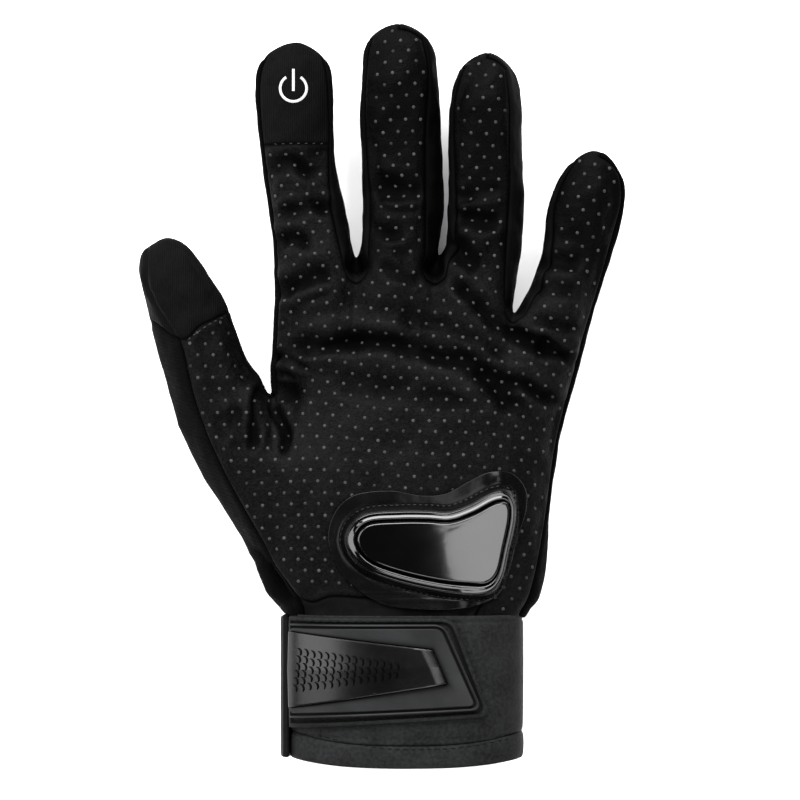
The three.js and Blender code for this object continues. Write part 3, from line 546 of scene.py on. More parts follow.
class GloveSizes(bpy.types.PropertyGroup):
    cloth: length_property("Cloth", "Thickness of the sewn panels", 1.4, 1, 3)
    cuff_cloth: length_property("Cuff cloth", "Thickness of the cuff", 2.5, 1, 4)
    seam_depth: length_property("Seam depth", "How deep the seams draw in,", 0.6, 0, 2)
    seam_width: length_property("Seam width", "Half width of a seam's valley", 0.55, 0.3, 3)
    skin_levels: level_property("Skin levels", "Subdivision of the palm side", 4)
    back_levels: level_property("Back levels", "Subdivision of the back", 3)
    dot_pitch: length_property("Dot pitch", "Distance between grip dots along a row", 5.0, 3, 10)
    dot_rows: length_property("Dot rows", "Distance between rows of grip dots", 3.7, 2, 10)
    dot_size: length_property("Dot size", "Radius of a grip dot", 0.62, 0.2, 2)


class GloveColours(bpy.types.PropertyGroup):
    palm: colour_property("Palm", "the palm cloth", tone(0.0014))
    back: colour_property("Back", "the knit back", tone(0.0011))
    sides: colour_property("Sides", "the strips between the fingers", tone(0.0022))
    touch: colour_property("Touch tips", "the touch tips", tone(0.0018))
    dots: colour_property("Dots", "the grip dots", tone(0.0145))
    cuff: colour_property("Cuff", "the cuff", tone(0.0053, -0.04))
    plate: colour_property("Strap plate", "the rubber plate", tone(0.0082, -0.03))
    floor: colour_property("Floor", "the floor", tone(0.93))


# Skin: where each corner of the block of cells goes

def station_corner(station, across, count, level):
    left = np.array([station.left_x, station.left_y, station.z])
    right = np.array([station.right_x, station.right_y, station.z])
    if level == 1 and across == 0 and station.edge:
        return np.array([*station.edge, station.z])
    if level == 1:
        return left if across == 0 else right
    half = np.linalg.norm(right - left) / 2
    outward = (right - left) / (2 * half)

    def angle_at(inset):
        return math.acos(signed_power(1 - inset / half, SECTION_POWER / 2))

    start = math.pi - angle_at(station.seam_l) if level == 2 else math.pi + BACK_ANGLE
    end = angle_at(station.seam_r) if level == 2 else 2 * math.pi - BACK_ANGLE
    angle = mix(start, end, across / count)
    power = 2 / SECTION_POWER
    point = (left + right) / 2 + outward * half * signed_power(math.cos(angle), power)
    point[2] = station.z + station.half * signed_power(math.sin(angle), power)
    return point


def cap_corner(limb, across, count):
    last = limb.stations[-1]
    left = np.array([last.left_x, last.left_y, last.z])
    right = np.array([last.right_x, last.right_y, last.z])
    lift = np.array(limb.apex) - (left + right) / 2
    return mix(left, right, across / count) + lift * math.sin(math.pi * across / count)


def crown_corner(limb):
    """Where the two seams of a fingertip's face meet over its middle."""
    last = limb.stations[-1]
    middle = np.array([(last.left_x + last.right_x) / 2, (last.left_y + last.right_y) / 2, last.z])
    return mix(middle, np.array(limb.apex), CROWN_SHARE) + [0, 0, last.half * math.sqrt(1 - CROWN_SHARE ** 2)]


def base_corner(finger, across, level):
    base = FINGER_BASES[finger]
    share = across / FINGER_CELLS
    face = np.array([mix(base.face_lx, base.face_rx, share), mix(base.face_ly, base.face_ry, share), 0.0])
    web = np.array([mix(base.web_lx, base.web_rx, share), mix(base.web_ly, base.web_ry, share), BASE_MIDDLE])
    crown = across == 1
    outermost = (finger == 0 and across == 0) or (finger == len(FINGERS) - 1 and across == FINGER_CELLS)
    if level == 2:
        face[2] = BASE_TOP if crown else BASE_EDGE if outermost else BASE_CORNER
        return face
    if level == 1:
        return web
    under = mix(face, web, 0.7)
    under[2] = BASE_BOTTOM if crown else BASE_BOTTOM + 2.5
    return under


def palm_corner(row, i, level):
    first, last = FINGER_BASES[0].face_lx, FINGER_BASES[-1].face_rx
    share = (base_corner(i // FINGER_PITCH, i % FINGER_PITCH, 2)[0] - first) / (last - first)
    y = mix(row.left_y, row.right_y, share)
    middle_z = (row.top + row.bottom) / 2
    if level == 1:
        return np.array([mix(row.side_l, row.side_r, share), y, middle_z])
    x = mix(row.face_l, row.face_r, share)
    off = min(1.0, abs(x - (row.side_l + row.side_r) / 2) / ((row.side_r - row.side_l) / 2))
    rise = (row.top - row.bottom) / 2 * (1 - off ** SECTION_POWER) ** (1 / SECTION_POWER)
    return np.array([x, y, middle_z + (rise if level == 2 else -rise)])


def place_corner(i, j, k):
    if i < 0:
        across = j - THUMB_ROW
        if k == 1 and 0 < across < THUMB_CELLS:
            return cap_corner(THUMB, across, THUMB_CELLS)
        return station_corner(THUMB.stations[-i - 1], across, THUMB_CELLS, k)
    finger, across = divmod(i, FINGER_PITCH)
    if j > PALM_ROWS:
        limb = FINGERS[finger]
        station = limb.stations[j - PALM_ROWS - 1]
        if k == 2 and across == 1 and station is limb.stations[-1]:
            return crown_corner(limb)
        if k == 1 and across == 1:
            return cap_corner(limb, 1, FINGER_CELLS)
        return station_corner(station, across, FINGER_CELLS, k)
    upper = j - len(PALM)
    if upper < 0:
        return palm_corner(PALM[j], i, k)
    base = base_corner(finger, across, k)
    if upper == len(UPPER_ROWS):
        return base
    return mix(palm_corner(PALM[-1], i, k), base, UPPER_ROWS[upper])


def panel_of(middle, normal):
    """The sewn panel that a face of the block belongs to."""
    step = [round(n) for n in normal]
    i, j, k = (math.floor(middle[n] - step[n] * 0.5) for n in range(3))
    thumb_tip = i < -len(THUMB.stations) + TIP_STATIONS
    if thumb_tip and step[2] >= 0:
        return "thumb_touch_tip"
    if step[2] < 0:
        return "back_panel"
    finger = i // FINGER_PITCH
    index_tip = i >= 0 and finger == 0 and j >= PALM_ROWS + len(FINGERS[0].stations) - TIP_STATIONS
    if step[2] > 0:
        if index_tip:
            return "index_touch_tip"
        return "heel_band" if j == 0 and i < ACROSS - 2 else "palm_panel"
    if i < 0:
        return "thumb_gusset" if step[1] > 0 else "back_panel"
    tip_end = j > PALM_ROWS and step[1] > 0 and k == 1
    if tip_end and index_tip:
        return "index_touch_tip"
    if tip_end and i % FINGER_PITCH == 0:
        return "palm_panel"
    web = j < PALM_ROWS and step[1] > 0
    side = j >= PALM_ROWS and (step[0] != 0 or tip_end)
    outer = (finger == 0 and step[0] < 0) or (finger == len(FINGERS) - 1 and (step[0] > 0 or tip_end))
    if not (web or side) or outer:
        return "back_panel"
    between = finger - 1 if step[0] < 0 else finger
    return f"fourchette_{FINGERS[between].name}_{FINGERS[between + 1].name}"


def limit_matrix(mesh):
    """Weights that take the cage's points to where the subdivided surface passes."""
    count = len(mesh.vertices)
    weights = np.zeros((count, count))
    uses = {}
    opposite = [[] for _ in range(count)]
    for polygon in mesh.polygons:
        ring = list(polygon.vertices)
        for n, a in enumerate(ring):
            key = tuple(sorted((a, ring[(n + 1) % 4])))
            uses[key] = uses.get(key, 0) + 1
            opposite[a].append(ring[(n + 2) % 4])
    spokes = [[] for _ in range(count)]
    for (a, b), used in uses.items():
        spokes[a].append((b, used))
        spokes[b].append((a, used))
    for a in range(count):
        rim = [b for b, used in spokes[a] if used == 1]
        if rim:
            weights[a, a] = 4 / 6
            weights[a, rim] = 1 / 6
            continue
        valence = len(spokes[a])
        whole = valence * (valence + 5)
        weights[a, a] = valence * valence / whole
        for b, _ in spokes[a]:
            weights[a, b] += 4 / whole
        for b in opposite[a]:
            weights[a, b] += 1 / whole
    return weights


def skin_cage():
    """The block of cells, grown from a grid, with its corners where the tables put them."""
    deselect()
    bpy.ops.mesh.primitive_grid_add(x_subdivisions=ACROSS, y_subdivisions=PALM_ROWS, size=1)
    cage = bpy.context.object
    cage.name = "skin"
    cells = (raw_coords(cage) + [0.5, 0.5, 0]) * [ACROSS, PALM_ROWS, 1]
    set_raw_coords(cage, cells)
    edit_all()
    extrude((0, 0, 1))
    extrude((0, 0, 1))
    for finger, limb in enumerate(FINGERS):
        start = finger * FINGER_PITCH
        select_faces(cage, lambda c, n: n.y > 0.5 and c.y > PALM_ROWS - 0.1 and start < c.x < start + FINGER_CELLS)
        for _ in limb.stations:
            extrude((0, 1, 0))
    select_faces(cage, lambda c, n: n.x < -0.5 and c.x < 0.1 and THUMB_ROW < c.y < THUMB_ROW + THUMB_CELLS)
    for _ in THUMB.stations:
        extrude((-1, 0, 0))
    bpy.ops.mesh.select_all(action="SELECT")
    bpy.ops.mesh.normals_make_consistent(inside=False)
    select_faces(cage, lambda c, n: n.y < -0.5 and c.y < 0.1 and c.x > 0)
    bpy.ops.mesh.delete(type="FACE")
    leave_edit()
    for name in PANELS:
        cage.data.materials.append(bpy.data.materials.new("part_" + name))
    for polygon in cage.data.polygons:
        polygon.material_index = PANELS.index(panel_of(polygon.center, polygon.normal))
    targets = np.array([place_corner(*(round(c) for c in v.co)) for v in cage.data.vertices])
    weights = limit_matrix(cage.data)
    points = targets.copy()
    for _ in range(8):
        points += targets - weights @ points
    set_coords(cage, points)
    return cage


def evenly(path, count):
    """Places spaced evenly along a dense path."""
    length = np.concatenate([[0], np.cumsum(np.linalg.norm(np.diff(path, axis=0), axis=1))])
    spots = np.linspace(0, length[-1], count)
    return np.column_stack([np.interp(spots, length, path[:, n]) for n in range(path.shape[1])])


def curve_through(points, count, closed=False):
    """Evenly spaced places on a smooth curve through points; a closed one ends where it starts."""
    ring = np.array(points, dtype=float)
    if closed:
        around = np.vstack([ring[-1:], ring, ring[:2]])
    else:
        around = np.vstack([2 * ring[0] - ring[1], ring, 2 * ring[-1] - ring[-2]])
    fine = []
    for a, b, c, d in zip(around, around[1:], around[2:], around[3:]):
        for t in np.linspace(0, 1, 16, endpoint=False):
            fine.append(0.5 * (2 * b + (c - a) * t + (2 * a - 5 * b + 4 * c - d) * t ** 2
                               + (3 * b - a - 3 * c + d) * t ** 3))
    fine.append(around[-2])
    return evenly(np.array(fine), count)


def path_distance(spots, path):
    """How far each place is from a path, and its share of the way along it."""
    best = np.full(len(spots), 1e9)
    share = np.zeros(len(spots))
    for n in range(len(path) - 1):
        run = path[n + 1] - path[n]
        along = np.clip(((spots - path[n]) @ run) / (run @ run), 0, 1)
        away = np.linalg.norm(spots - path[n] - along[:, None] * run, axis=1)
        closer = away < best
        best[closer] = away[closer]
        share[closer] = (n + along[closer]) / (len(path) - 1)
    return best, share


def wander(points, size, amount):
    """Smooth noise at each point, of a size of lump and an amount in millimetres."""
    return np.array([noise.noise(Vector(p) / size) for p in points]) * amount


def crease_height(points):
    """How far creases and hollows move each point along its normal."""
    height = np.zeros(len(points))
    spots = points[:, :2] + np.column_stack([wander(points, 9, 1.4), wander(points + 50, 9, 1.4)])
    uneven = 1 + wander(points + 90, 7, 0.7)
    for crease in CREASES:
        path = curve_through(crease.path, 5 * len(crease.path))
        width = crease.width * 1.25
        near = np.flatnonzero(((spots > path.min(axis=0) - width * 4) & (spots < path.max(axis=0) + width * 4))
                              .all(axis=1))
        if not len(near):
            continue
        away, share = path_distance(spots[near], path)
        fade = smoothstep(0, 0.14, share) * smoothstep(1, 0.86, share) * 0.85 + 0.15
        off = away / (width * mix(0.6, 1.0, fade))
        valley = np.exp(-off ** 2) - 0.2 * np.exp(-((off - 2.1) / 0.8) ** 2)
        height[near] -= crease.depth * 1.3 * fade * uneven[near] * valley
    for hollow in HOLLOWS:
        off = np.hypot(points[:, 0] - hollow.x, points[:, 1] - hollow.y) / hollow.radius
        height -= hollow.depth * np.exp(-off ** 2)
    return height


def seam_points(mesh):
    """The points that lie on a join between two panels, or on the wrist's edge."""
    owner = {}
    seams = set()
    for polygon in mesh.polygons:
        for key in polygon.edge_keys:
            if key in owner and owner[key] != polygon.material_index:
                seams.update(key)
            owner[key] = polygon.material_index
    return sorted(seams)


def shape_skin(skin, sizes):
    """Presses the creases and seams into the fine skin and flattens it where it rests."""
    points = coords(skin)
    points[:, 2] = np.maximum(points[:, 2], 0)
    upward = normals(skin)[:, 2]
    facing = smoothstep(-0.1, 0.5, upward)
    tree_points = seam_points(skin.data)
    tree = KDTree(len(tree_points))
    for n in tree_points:
        tree.insert(points[n], n)
    tree.balance()
    distance = np.array([tree.find(p)[2] for p in points])
    wrist = smoothstep(-40, -48, points[:, 1])
    height = crease_height(points) * mix(facing, smoothstep(-0.45, 0.25, upward), wrist)
    height *= smoothstep(-70, -64.5, points[:, 1])
    puff = wander(points, 15, 1.0) + wander(points, 6, 0.6) + wander(points, 2.6, 0.2)
    # Painted shade and light for the finishes: darker along seams and in creases and hollows, lighter on raised
    # places.
    stitched = np.exp(-(distance / 0.8) ** 2)
    for name, level in (("hollow", 0.7 * stitched - height / 2.4), ("ridge", 0.45 + (height + puff * 0.6) / 1.5)):
        skin.data.attributes.new(name, "FLOAT", "POINT").data.foreach_set("value", np.clip(level, 0, 1))
    valley = np.exp(-(distance / sizes.seam_width) ** 2)
    height -= sizes.seam_depth * valley * mix(0.3, 1.0, smoothstep(0, 0.6, upward))
    height += puff * mix(0.45, 1.0, facing) * smoothstep(0.3, 3.5, distance)
    points += normals(skin) * height[:, None]
    points[:, 2] = np.maximum(points[:, 2], 0)
    points[:, 1] -= WRIST_LAP * smoothstep(WRIST_Y + 1.8, WRIST_Y, points[:, 1])
    set_coords(skin, points)


def fine_skin(levels, sizes):
    skin = skin_cage()
    smooth_levels(skin, levels)
    shape_skin(skin, sizes)
    return skin


def split_panels(skin, wanted):
    """Parts the skin at its seams and keeps the wanted panels, by name and in their listed order."""
    activate(skin)
    edit_all()
    bpy.ops.mesh.separate(type="MATERIAL")
    leave_edit()
    kept = {}
    for piece in list(bpy.context.selected_objects):
        name = piece.data.materials[piece.data.polygons[0].material_index].name[len("part_"):].split(".")[0]
        if name in wanted:
            kept[name] = piece
        else:
            bpy.data.objects.remove(piece)
    return {name: kept[name] for name in PANELS if name in kept}


def thicken(piece, name, thickness):
    piece.name = piece.data.name = name
    apply_modifier(piece, "SOLIDIFY", thickness=thickness * MM, offset=-1, use_even_offset=False, use_rim=True)
    smooth_shade(piece)


def surface_of(pieces):
    """A tree that rays can be dropped on."""
    points, faces, start = [], [], 0
    for piece in pieces:
        points.extend(v.co for v in piece.data.vertices)
        faces.extend(tuple(v + start for v in p.vertices) for p in piece.data.polygons)
        start = len(points)
    return BVHTree.FromPolygons([p.copy() for p in points], faces)


def drop(surface, x, y):
    """The highest place of a surface over a point of the tables, and its normal."""
    start = (np.array([x, y, 0.0]) + SHIFT) * MM
    hit, normal, _, _ = surface.ray_cast(Vector((start[0], start[1], 0.2)), Vector((0, 0, -1)))
    if hit is None:
        return None, None
    normal = np.array(normal)
    return np.array(hit) / MM - SHIFT, normal if normal[2] > 0 else -normal


def axes_on(normal, along):
    """Axes of a small copy that stands on a surface and runs along a direction."""
    up = normal / np.linalg.norm(normal)
    run = along - up * (along @ up)
    run /= np.linalg.norm(run)
    return np.column_stack([run, np.cross(up, run), up])


SURFACES = {}


class GLOVE_OT_materials(bpy.types.Operator):
    """Makes the glove's finishes"""
    bl_idname = "glove.materials"
    bl_label = "Finishes"

    def execute(self, context):
        colours = context.scene.glove_colours

        palm = Shader("palm_cloth", Specular_IOR_Level=0.016)
        x, y, _ = palm.axes()
        # Painted shade along seams and in creases and hollows.
        hollow = palm.attribute("hollow")
        dim = palm.span(y, [(0.78, 0.0), (0.98, 0.88)]) * palm.span(x, [(0.38, 0.0), (0.46, 1.0)])
        soft = palm.ramp(palm.grain(14, 3.0), [(0.3, 0.0), (0.7, 1.0)])
        flecks = palm.ramp(palm.grain(1.0, 3.0), [(0.38, 0.0), (0.62, 1.0)])
        # Painted light on raised places of the cloth; the cloth is also darker towards the fingers right of the
        # index.
        lit = (soft * 0.2 + flecks * 0.45 + palm.attribute("ridge") * 0.6) * (1.0 - dim) * (1.0 - hollow)
        palm.paint(lit, colours.palm, 0.15, 1.8, palm.grain(5) * 0.12 + hollow * 0.35 + 0.42)
        palm.bump(palm.cells(0.75) * 0.5 + palm.grain(0.45, 3.0) * 0.9 + palm.grain(1.6) * 1.2, 0.16)

        side = Shader("side_cloth", Specular_IOR_Level=0.008)
        x, _, z = side.axes()
        # Painted shade: darker low down between the fingers, along seams and in creases, and over the strips between
        # the middle and ring fingers.
        depth_shade = side.ramp(z * 0.02, [(0.3, 0.15), (0.52, 1.0)]) * (1.0 - side.attribute("hollow"))
        gap_shade = side.span(x, [(0.54, 1.0), (0.57, 0.25), (0.68, 0.25), (0.72, 1.0)])
        side.paint(side.grain(9) * gap_shade * depth_shade, colours.sides, 0.1, 1.6, side.grain(3) * 0.15 + 0.5)
        side.bump(side.grain(0.4, 3.0) + side.grain(1.6) * 0.6, 0.07)

        back = Shader("back_knit", Specular_IOR_Level=0.01)
        x, y, _ = back.axes()
        lit = back.span(x, [(0.12, 1.0), (0.2, 0.25)]) * back.span(y, [(0.85, 1.0), (0.93, 0.3)])
        # Painted shade along seams and in creases.
        lit = lit * (1.0 - back.attribute("hollow"))
        ribs = back.wave((x * 0.34 + y * 0.94) * 5.7 + back.grain(2.6, 1.0) * 5.0) * lit
        back.paint((ribs * 0.12 + back.grain(0.8, 3.0)) * lit, colours.back, 0.2, 1.7, back.grain(1.5) * 0.2 + 0.62)
        back.bump(ribs * 0.2 + back.grain(0.5) * 1.2, 0.22)

        touch = Shader("touch_cloth", Specular_IOR_Level=0.011)
        weave = touch.wave(touch.axes()[0] * 9.0 + touch.grain(2.0, 1.0) * 3.0)
        touch.paint(weave * 0.25 + touch.grain(0.9, 3.0), colours.touch, 0.5, 1.4, touch.grain(2) * 0.15 + 0.6)
        touch.bump(weave * 0.6 + touch.grain(0.4) * 0.6, 0.08)

        dots = Shader("grip_dot", Specular_IOR_Level=0.08)
        dots.paint(dots.patches(4), colours.dots, 0.3, 1.5, dots.grain(1.0, 1.0) * 0.2 + 0.45)

        for name, low, high in (("thread", 0.0008, 0.003), ("thread_light", 0.008, 0.028)):
            thread = Shader(name, Specular_IOR_Level=0.04)
            thread.paint(thread.grain(0.8, 1.0), WHITE, low, high, thread.grain(0.4, 1.0) * 0.2 + 0.5)

        printed = Shader("tip_print", Specular_IOR_Level=0.3)
        printed.paint(printed.grain(0.7), WHITE, 0.22, 0.29, printed.grain(0.6, 1.0) * 0.2 + 0.45)

        cuff = Shader("cuff_neoprene", Specular_IOR_Level=0.045)
        # Painted shade from the points' shade attribute, where a piece carries one.
        hollow = cuff.attribute("hollow")
        mottle = cuff.patches(1.1, 4.0) * 0.6 + cuff.patches(11, 3.0) * 0.4
        cuff.paint(mottle * (1.0 - hollow), colours.cuff, 0.35, 1.5, cuff.grain(4) * 0.15 + hollow * 0.2 + 0.6)
        cuff.bump(cuff.grain(0.45, 3.0) + cuff.grain(1.3) * 0.8, 0.09)

        strip = Shader("strip_cloth", Specular_IOR_Level=0.02)
        strip.paint(strip.grain(1.0, 3.0), colours.cuff, 0.05, 0.4, strip.grain(4) * 0.15 + 0.6)
        strip.bump(strip.grain(0.45, 3.0), 0.08)

        # Lit and shaded copies of one rubber: the wedge and its scales are painted darker as painted shade, the wedge
        # darker towards its right end, and the grooves carry painted shade.
        for name, share, gleam, rough in (("strap_rubber", 1.0, 0.07, 0.34), ("wedge_rubber", 0.28, 0.2, 0.22),
                                          ("scale_rubber", 0.03, 0.02, 0.34)):
            rubber = Shader(name, Specular_IOR_Level=gleam)
            hollow = rubber.attribute("hollow")
            lit = rubber.patches(14, 3.0) * 0.4 + 0.6
            if name == "wedge_rubber":
                lit = lit * rubber.span(rubber.axes()[0], [(0.25, 1.0), (0.5, 0.1), (0.62, 0.2)])
            rubber.paint(lit * (1.0 - hollow), colours.plate, 0.06 * share, 1.2 * share,
                         rubber.grain(4, 3.0) * 0.08 + hollow * 0.4 + rough)
            rubber.bump(rubber.grain(0.25), 0.015)

        gloss = Shader("slider_gloss", Specular_IOR_Level=0.27, Coat_Roughness=0.06)
        gloss.paint(gloss.grain(20), WHITE, 0.0003, 0.0008, gloss.grain(6, 3.0) * 0.08 + 0.08)
        gloss.feed(gloss.surface.inputs["Coat Weight"], gloss.grain(15, 1.0) * 0.1 + 0.2)
        gloss.bump(gloss.grain(3.5), 0.012)

        satin = Shader("slider_satin", Specular_IOR_Level=0.085)
        satin.paint(satin.grain(8), WHITE, 0.0003, 0.0012, satin.grain(5) * 0.06 + 0.24)
        satin.bump(satin.grain(2.5) + satin.grain(0.5) * 0.15, 0.04)

        floor = Shader("pale_floor", Specular_IOR_Level=0.1)
        floor.paint(floor.grain(120), colours.floor, 0.995, 1.0, floor.grain(60) * 0.1 + 0.75)
        return {"FINISHED"}


class GLOVE_OT_skin(bpy.types.Operator):
    """Builds the sewn panels of hand, fingers and thumb"""
    bl_idname = "glove.skin"
    bl_label = "Skin"

    def execute(self, context):
        sizes = context.scene.glove_sizes
        rough = split_panels(fine_skin(sizes.back_levels, sizes), {"back_panel"})
        fine = split_panels(fine_skin(sizes.skin_levels, sizes), set(PANELS) - {"back_panel"})
        SURFACES["palm"] = surface_of([fine["palm_panel"]])
        SURFACES["heel"] = surface_of([fine[n] for n in ("palm_panel", "heel_band")])
        SURFACES["tip"] = surface_of([fine["index_touch_tip"]])
        SURFACES["skin"] = surface_of(list(fine.values()) + list(rough.values()))
        for name, piece in {**rough, **fine}.items():
            thicken(piece, name + "_cloth", sizes.cloth)
            slot = PANEL_SLOTS.get(name, "side_cloth")
            finish_piece(piece, slot, MATERIALS[slot], name)
        return {"FINISHED"}


def dome(radius, height):
    """A low dome with 8 sides, for one grip dot."""
    deselect()
    bpy.ops.mesh.primitive_uv_sphere_add(segments=8, ring_count=6, radius=1)
    model = bpy.context.object
    edit_all()
    bpy.ops.mesh.bisect(plane_co=(0, 0, -0.3), plane_no=(0, 0, 1), clear_inner=True, use_fill=True)
    leave_edit()
    set_raw_coords(model, raw_coords(model) * [radius, radius, height])
    return model


def capsule(length, thickness):
    """One stitch: a thread from hole to hole, along its X."""
    deselect()
    bpy.ops.mesh.primitive_uv_sphere_add(segments=6, ring_count=5, radius=1)
    model = bpy.context.object
    points = raw_coords(model)
    points = np.column_stack([points[:, 2], points[:, 0], points[:, 1]])
    points[:, 0] = np.sign(points[:, 0]) * np.abs(points[:, 0]) ** 0.6
    model.data.flip_normals()
    set_raw_coords(model, points * [length / 2, thickness / 2, thickness / 2])
    return model


# Lattice of each part of the palm: its middle, turn in degrees, and the box that it fills.
Lattice = namedtuple("Lattice", "x y turn left right low high")
LATTICES = [
    Lattice(0, 0, -2, -70, 80, -72, 45),
    Lattice(-25, 60, 4, -45, -9.5, 45, 120),
    Lattice(5, 80, 0, -9.5, 19, 45, 125),
    Lattice(34, 80, -2, 19, 49, 45, 116),
    Lattice(65, 50, -14, 49, 90, 45, 90),
]
SMOOTH_PATCH = (-32.5, 4.0, 5.5)


class GLOVE_OT_dots(bpy.types.Operator):
    """Builds the grip dots of the palm cloth"""
    bl_idname = "glove.dots"
    bl_label = "Grip dots"

    def execute(self, context):
        sizes = context.scene.glove_sizes
        places = []
        for lattice in LATTICES:
            turn = math.radians(lattice.turn)
            along = np.array([math.cos(turn), math.sin(turn)])
            up = np.array([-along[1], along[0]])
            for row in range(-40, 41):
                for column in range(-30, 31):
                    shift = 0.5 * (row % 2)
                    spot = (np.array([lattice.x, lattice.y]) + along * (column + shift) * sizes.dot_pitch
                            + up * row * sizes.dot_rows)
                    x, y = spot + [noise.noise(Vector((*spot / 42, level))) * 3.4 for level in (0.3, 5.7)]
                    if not (lattice.left <= x < lattice.right and lattice.low <= y < lattice.high):
                        continue
                    if math.hypot(x - SMOOTH_PATCH[0], y - SMOOTH_PATCH[1]) < SMOOTH_PATCH[2]:
                        continue
                    places.extend(self.on_cloth(x, y))
        piece = copies("grip_dots", dome(sizes.dot_size, 0.26), places)
        finish_piece(piece, "palm_cloth", MATERIALS["grip_dot"])
        return {"FINISHED"}

    @staticmethod
    def on_cloth(x, y):
        at, normal = drop(SURFACES["palm"], x, y)
        if at is None or normal[2] < 0.45 or (x < 34 and at[1] < -62.0):
            return []
        for dx, dy in ((1.1, 0), (-1.1, 0), (0, 1.1), (0, -1.1)):
            if drop(SURFACES["palm"], x + dx, y + dy)[0] is None:
                return []
        return [(axes_on(normal, np.array([1.0, 0, 0])), at - normal * 0.03)]


# Cuff and strap

def cuff_point(angle, out, y):
    power = 2 / CUFF.power
    x = CUFF.centre_x + (CUFF.half_width + out) * signed_power(np.cos(angle), power)
    z = CUFF.centre_z + (CUFF.half_height + out) * signed_power(np.sin(angle), power)
    return np.stack([x, y + 0 * x, np.maximum(z, 0)], axis=-1)


def cuff_angle_at(x):
    return np.arccos(np.clip(signed_power((x - CUFF.centre_x) / CUFF.half_width, CUFF.power / 2), -1, 1))


def even_angles(count):
    """Angles that space points evenly round the cuff."""
    fine = np.linspace(0, 2 * np.pi, 2881)
    ring = cuff_point(fine, 0.0, 0.0)
    length = np.concatenate([[0], np.cumsum(np.linalg.norm(np.diff(ring, axis=0), axis=1))])
    return np.interp(np.linspace(0, length[-1], count), length, fine)


class GLOVE_OT_cuff(bpy.types.Operator):
    """Builds the cuff, its hem and the strip down its side"""
    bl_idname = "glove.cuff"
    bl_label = "Cuff"

    def execute(self, context):
        sizes = context.scene.glove_sizes
        angles = even_angles(241)
        bow = np.sin(angles) ** 2

        def tube(name, start, end, start_bow, end_bow, rows, bulge, groove, lap=()):
            """Rows from start to end, after those that a lap tucks up behind the cloth above."""
            points = [cuff_point(angles, -HEM_TUCK, start - start_bow * bow + above) for above in lap]
            for share in np.linspace(0, 1, rows):
                y = mix(start - start_bow * bow, end - end_bow * bow, share)
                edge = min(share, 1 - share) * (rows - 1)
                round_in = -0.35 * math.exp(-edge * 0.8) - groove * math.exp(-(((share - 0.052) * 38) / 0.45) ** 2)
                line = np.exp(-((y - (STITCH_Y - STITCH_BOW * bow)) / 0.35) ** 2) * 0.35
                ring = cuff_point(angles, round_in - line + bulge * math.sin(math.pi * share), y)
                points.append(ring)
            piece = make_sheet(name, np.array(points), wrapped=True)
            apply_modifier(piece, "SOLIDIFY", thickness=sizes.cuff_cloth * MM, offset=-1, use_rim=True)
            smooth_shade(piece)
            return piece

        band = tube("cuff_band_cloth", CUFF.top, CUFF.hem_seam + 0.05, 0, CUFF.hem_bow, 76, 0.15, 0.4)
        hem = tube("cuff_hem_cloth", CUFF.hem_seam - 0.25, CUFF.end, CUFF.hem_bow, CUFF.bow, 24, 0.25, 0.0,
                   HEM_LAP)
        SURFACES["cuff"] = surface_of([band, hem])
        finish_piece(band, "cuff_neoprene", MATERIALS["cuff_neoprene"], "cuff_band")
        finish_piece(hem, "cuff_neoprene", MATERIALS["cuff_neoprene"], "cuff_hem")
        self.side_strip()
        return {"FINISHED"}

    @staticmethod
    def side_strip():
        """A rolled strip: round sections along the cuff's side, closed at both ends."""
        turns = np.linspace(0, 2 * np.pi, 73)
        middle = math.radians((FLAP.from_angle + FLAP.to_angle) / 2)
        spread = math.radians((FLAP.to_angle - FLAP.from_angle) / 2)
        rings = []
        for share in np.linspace(0, 1, 49):
            y = mix(FLAP.top, FLAP.end, share)
            end = min(share, 1 - share) * (FLAP.top - FLAP.end)
            size = math.sqrt(max(0.0, 1 - max(0.0, 1 - end / 1.6) ** 2)) * 0.97 + 0.03
            angle = middle - spread * size * signed_power(np.cos(turns), 0.8)
            rib = 0.12 * np.cos(9 * turns) * smoothstep(0, 0.4, np.sin(turns)) * size
            out = REST_GAP + FLAP.thickness * (0.5 + 0.5 * size * signed_power(np.sin(turns), 0.8)) + rib
            ring = cuff_point(angle, 0.0, y)
            away = cuff_point(angle, 1.0, y) - ring
            rings.append(ring + away * out[:, None])
        piece = make_sheet("cuff_side_strip", np.array(rings), wrapped=True, caps=(0, -1))
        smooth_shade(piece)
        finish_piece(piece, "cuff_neoprene", MATERIALS["strip_cloth"], "cuff_side_flap")


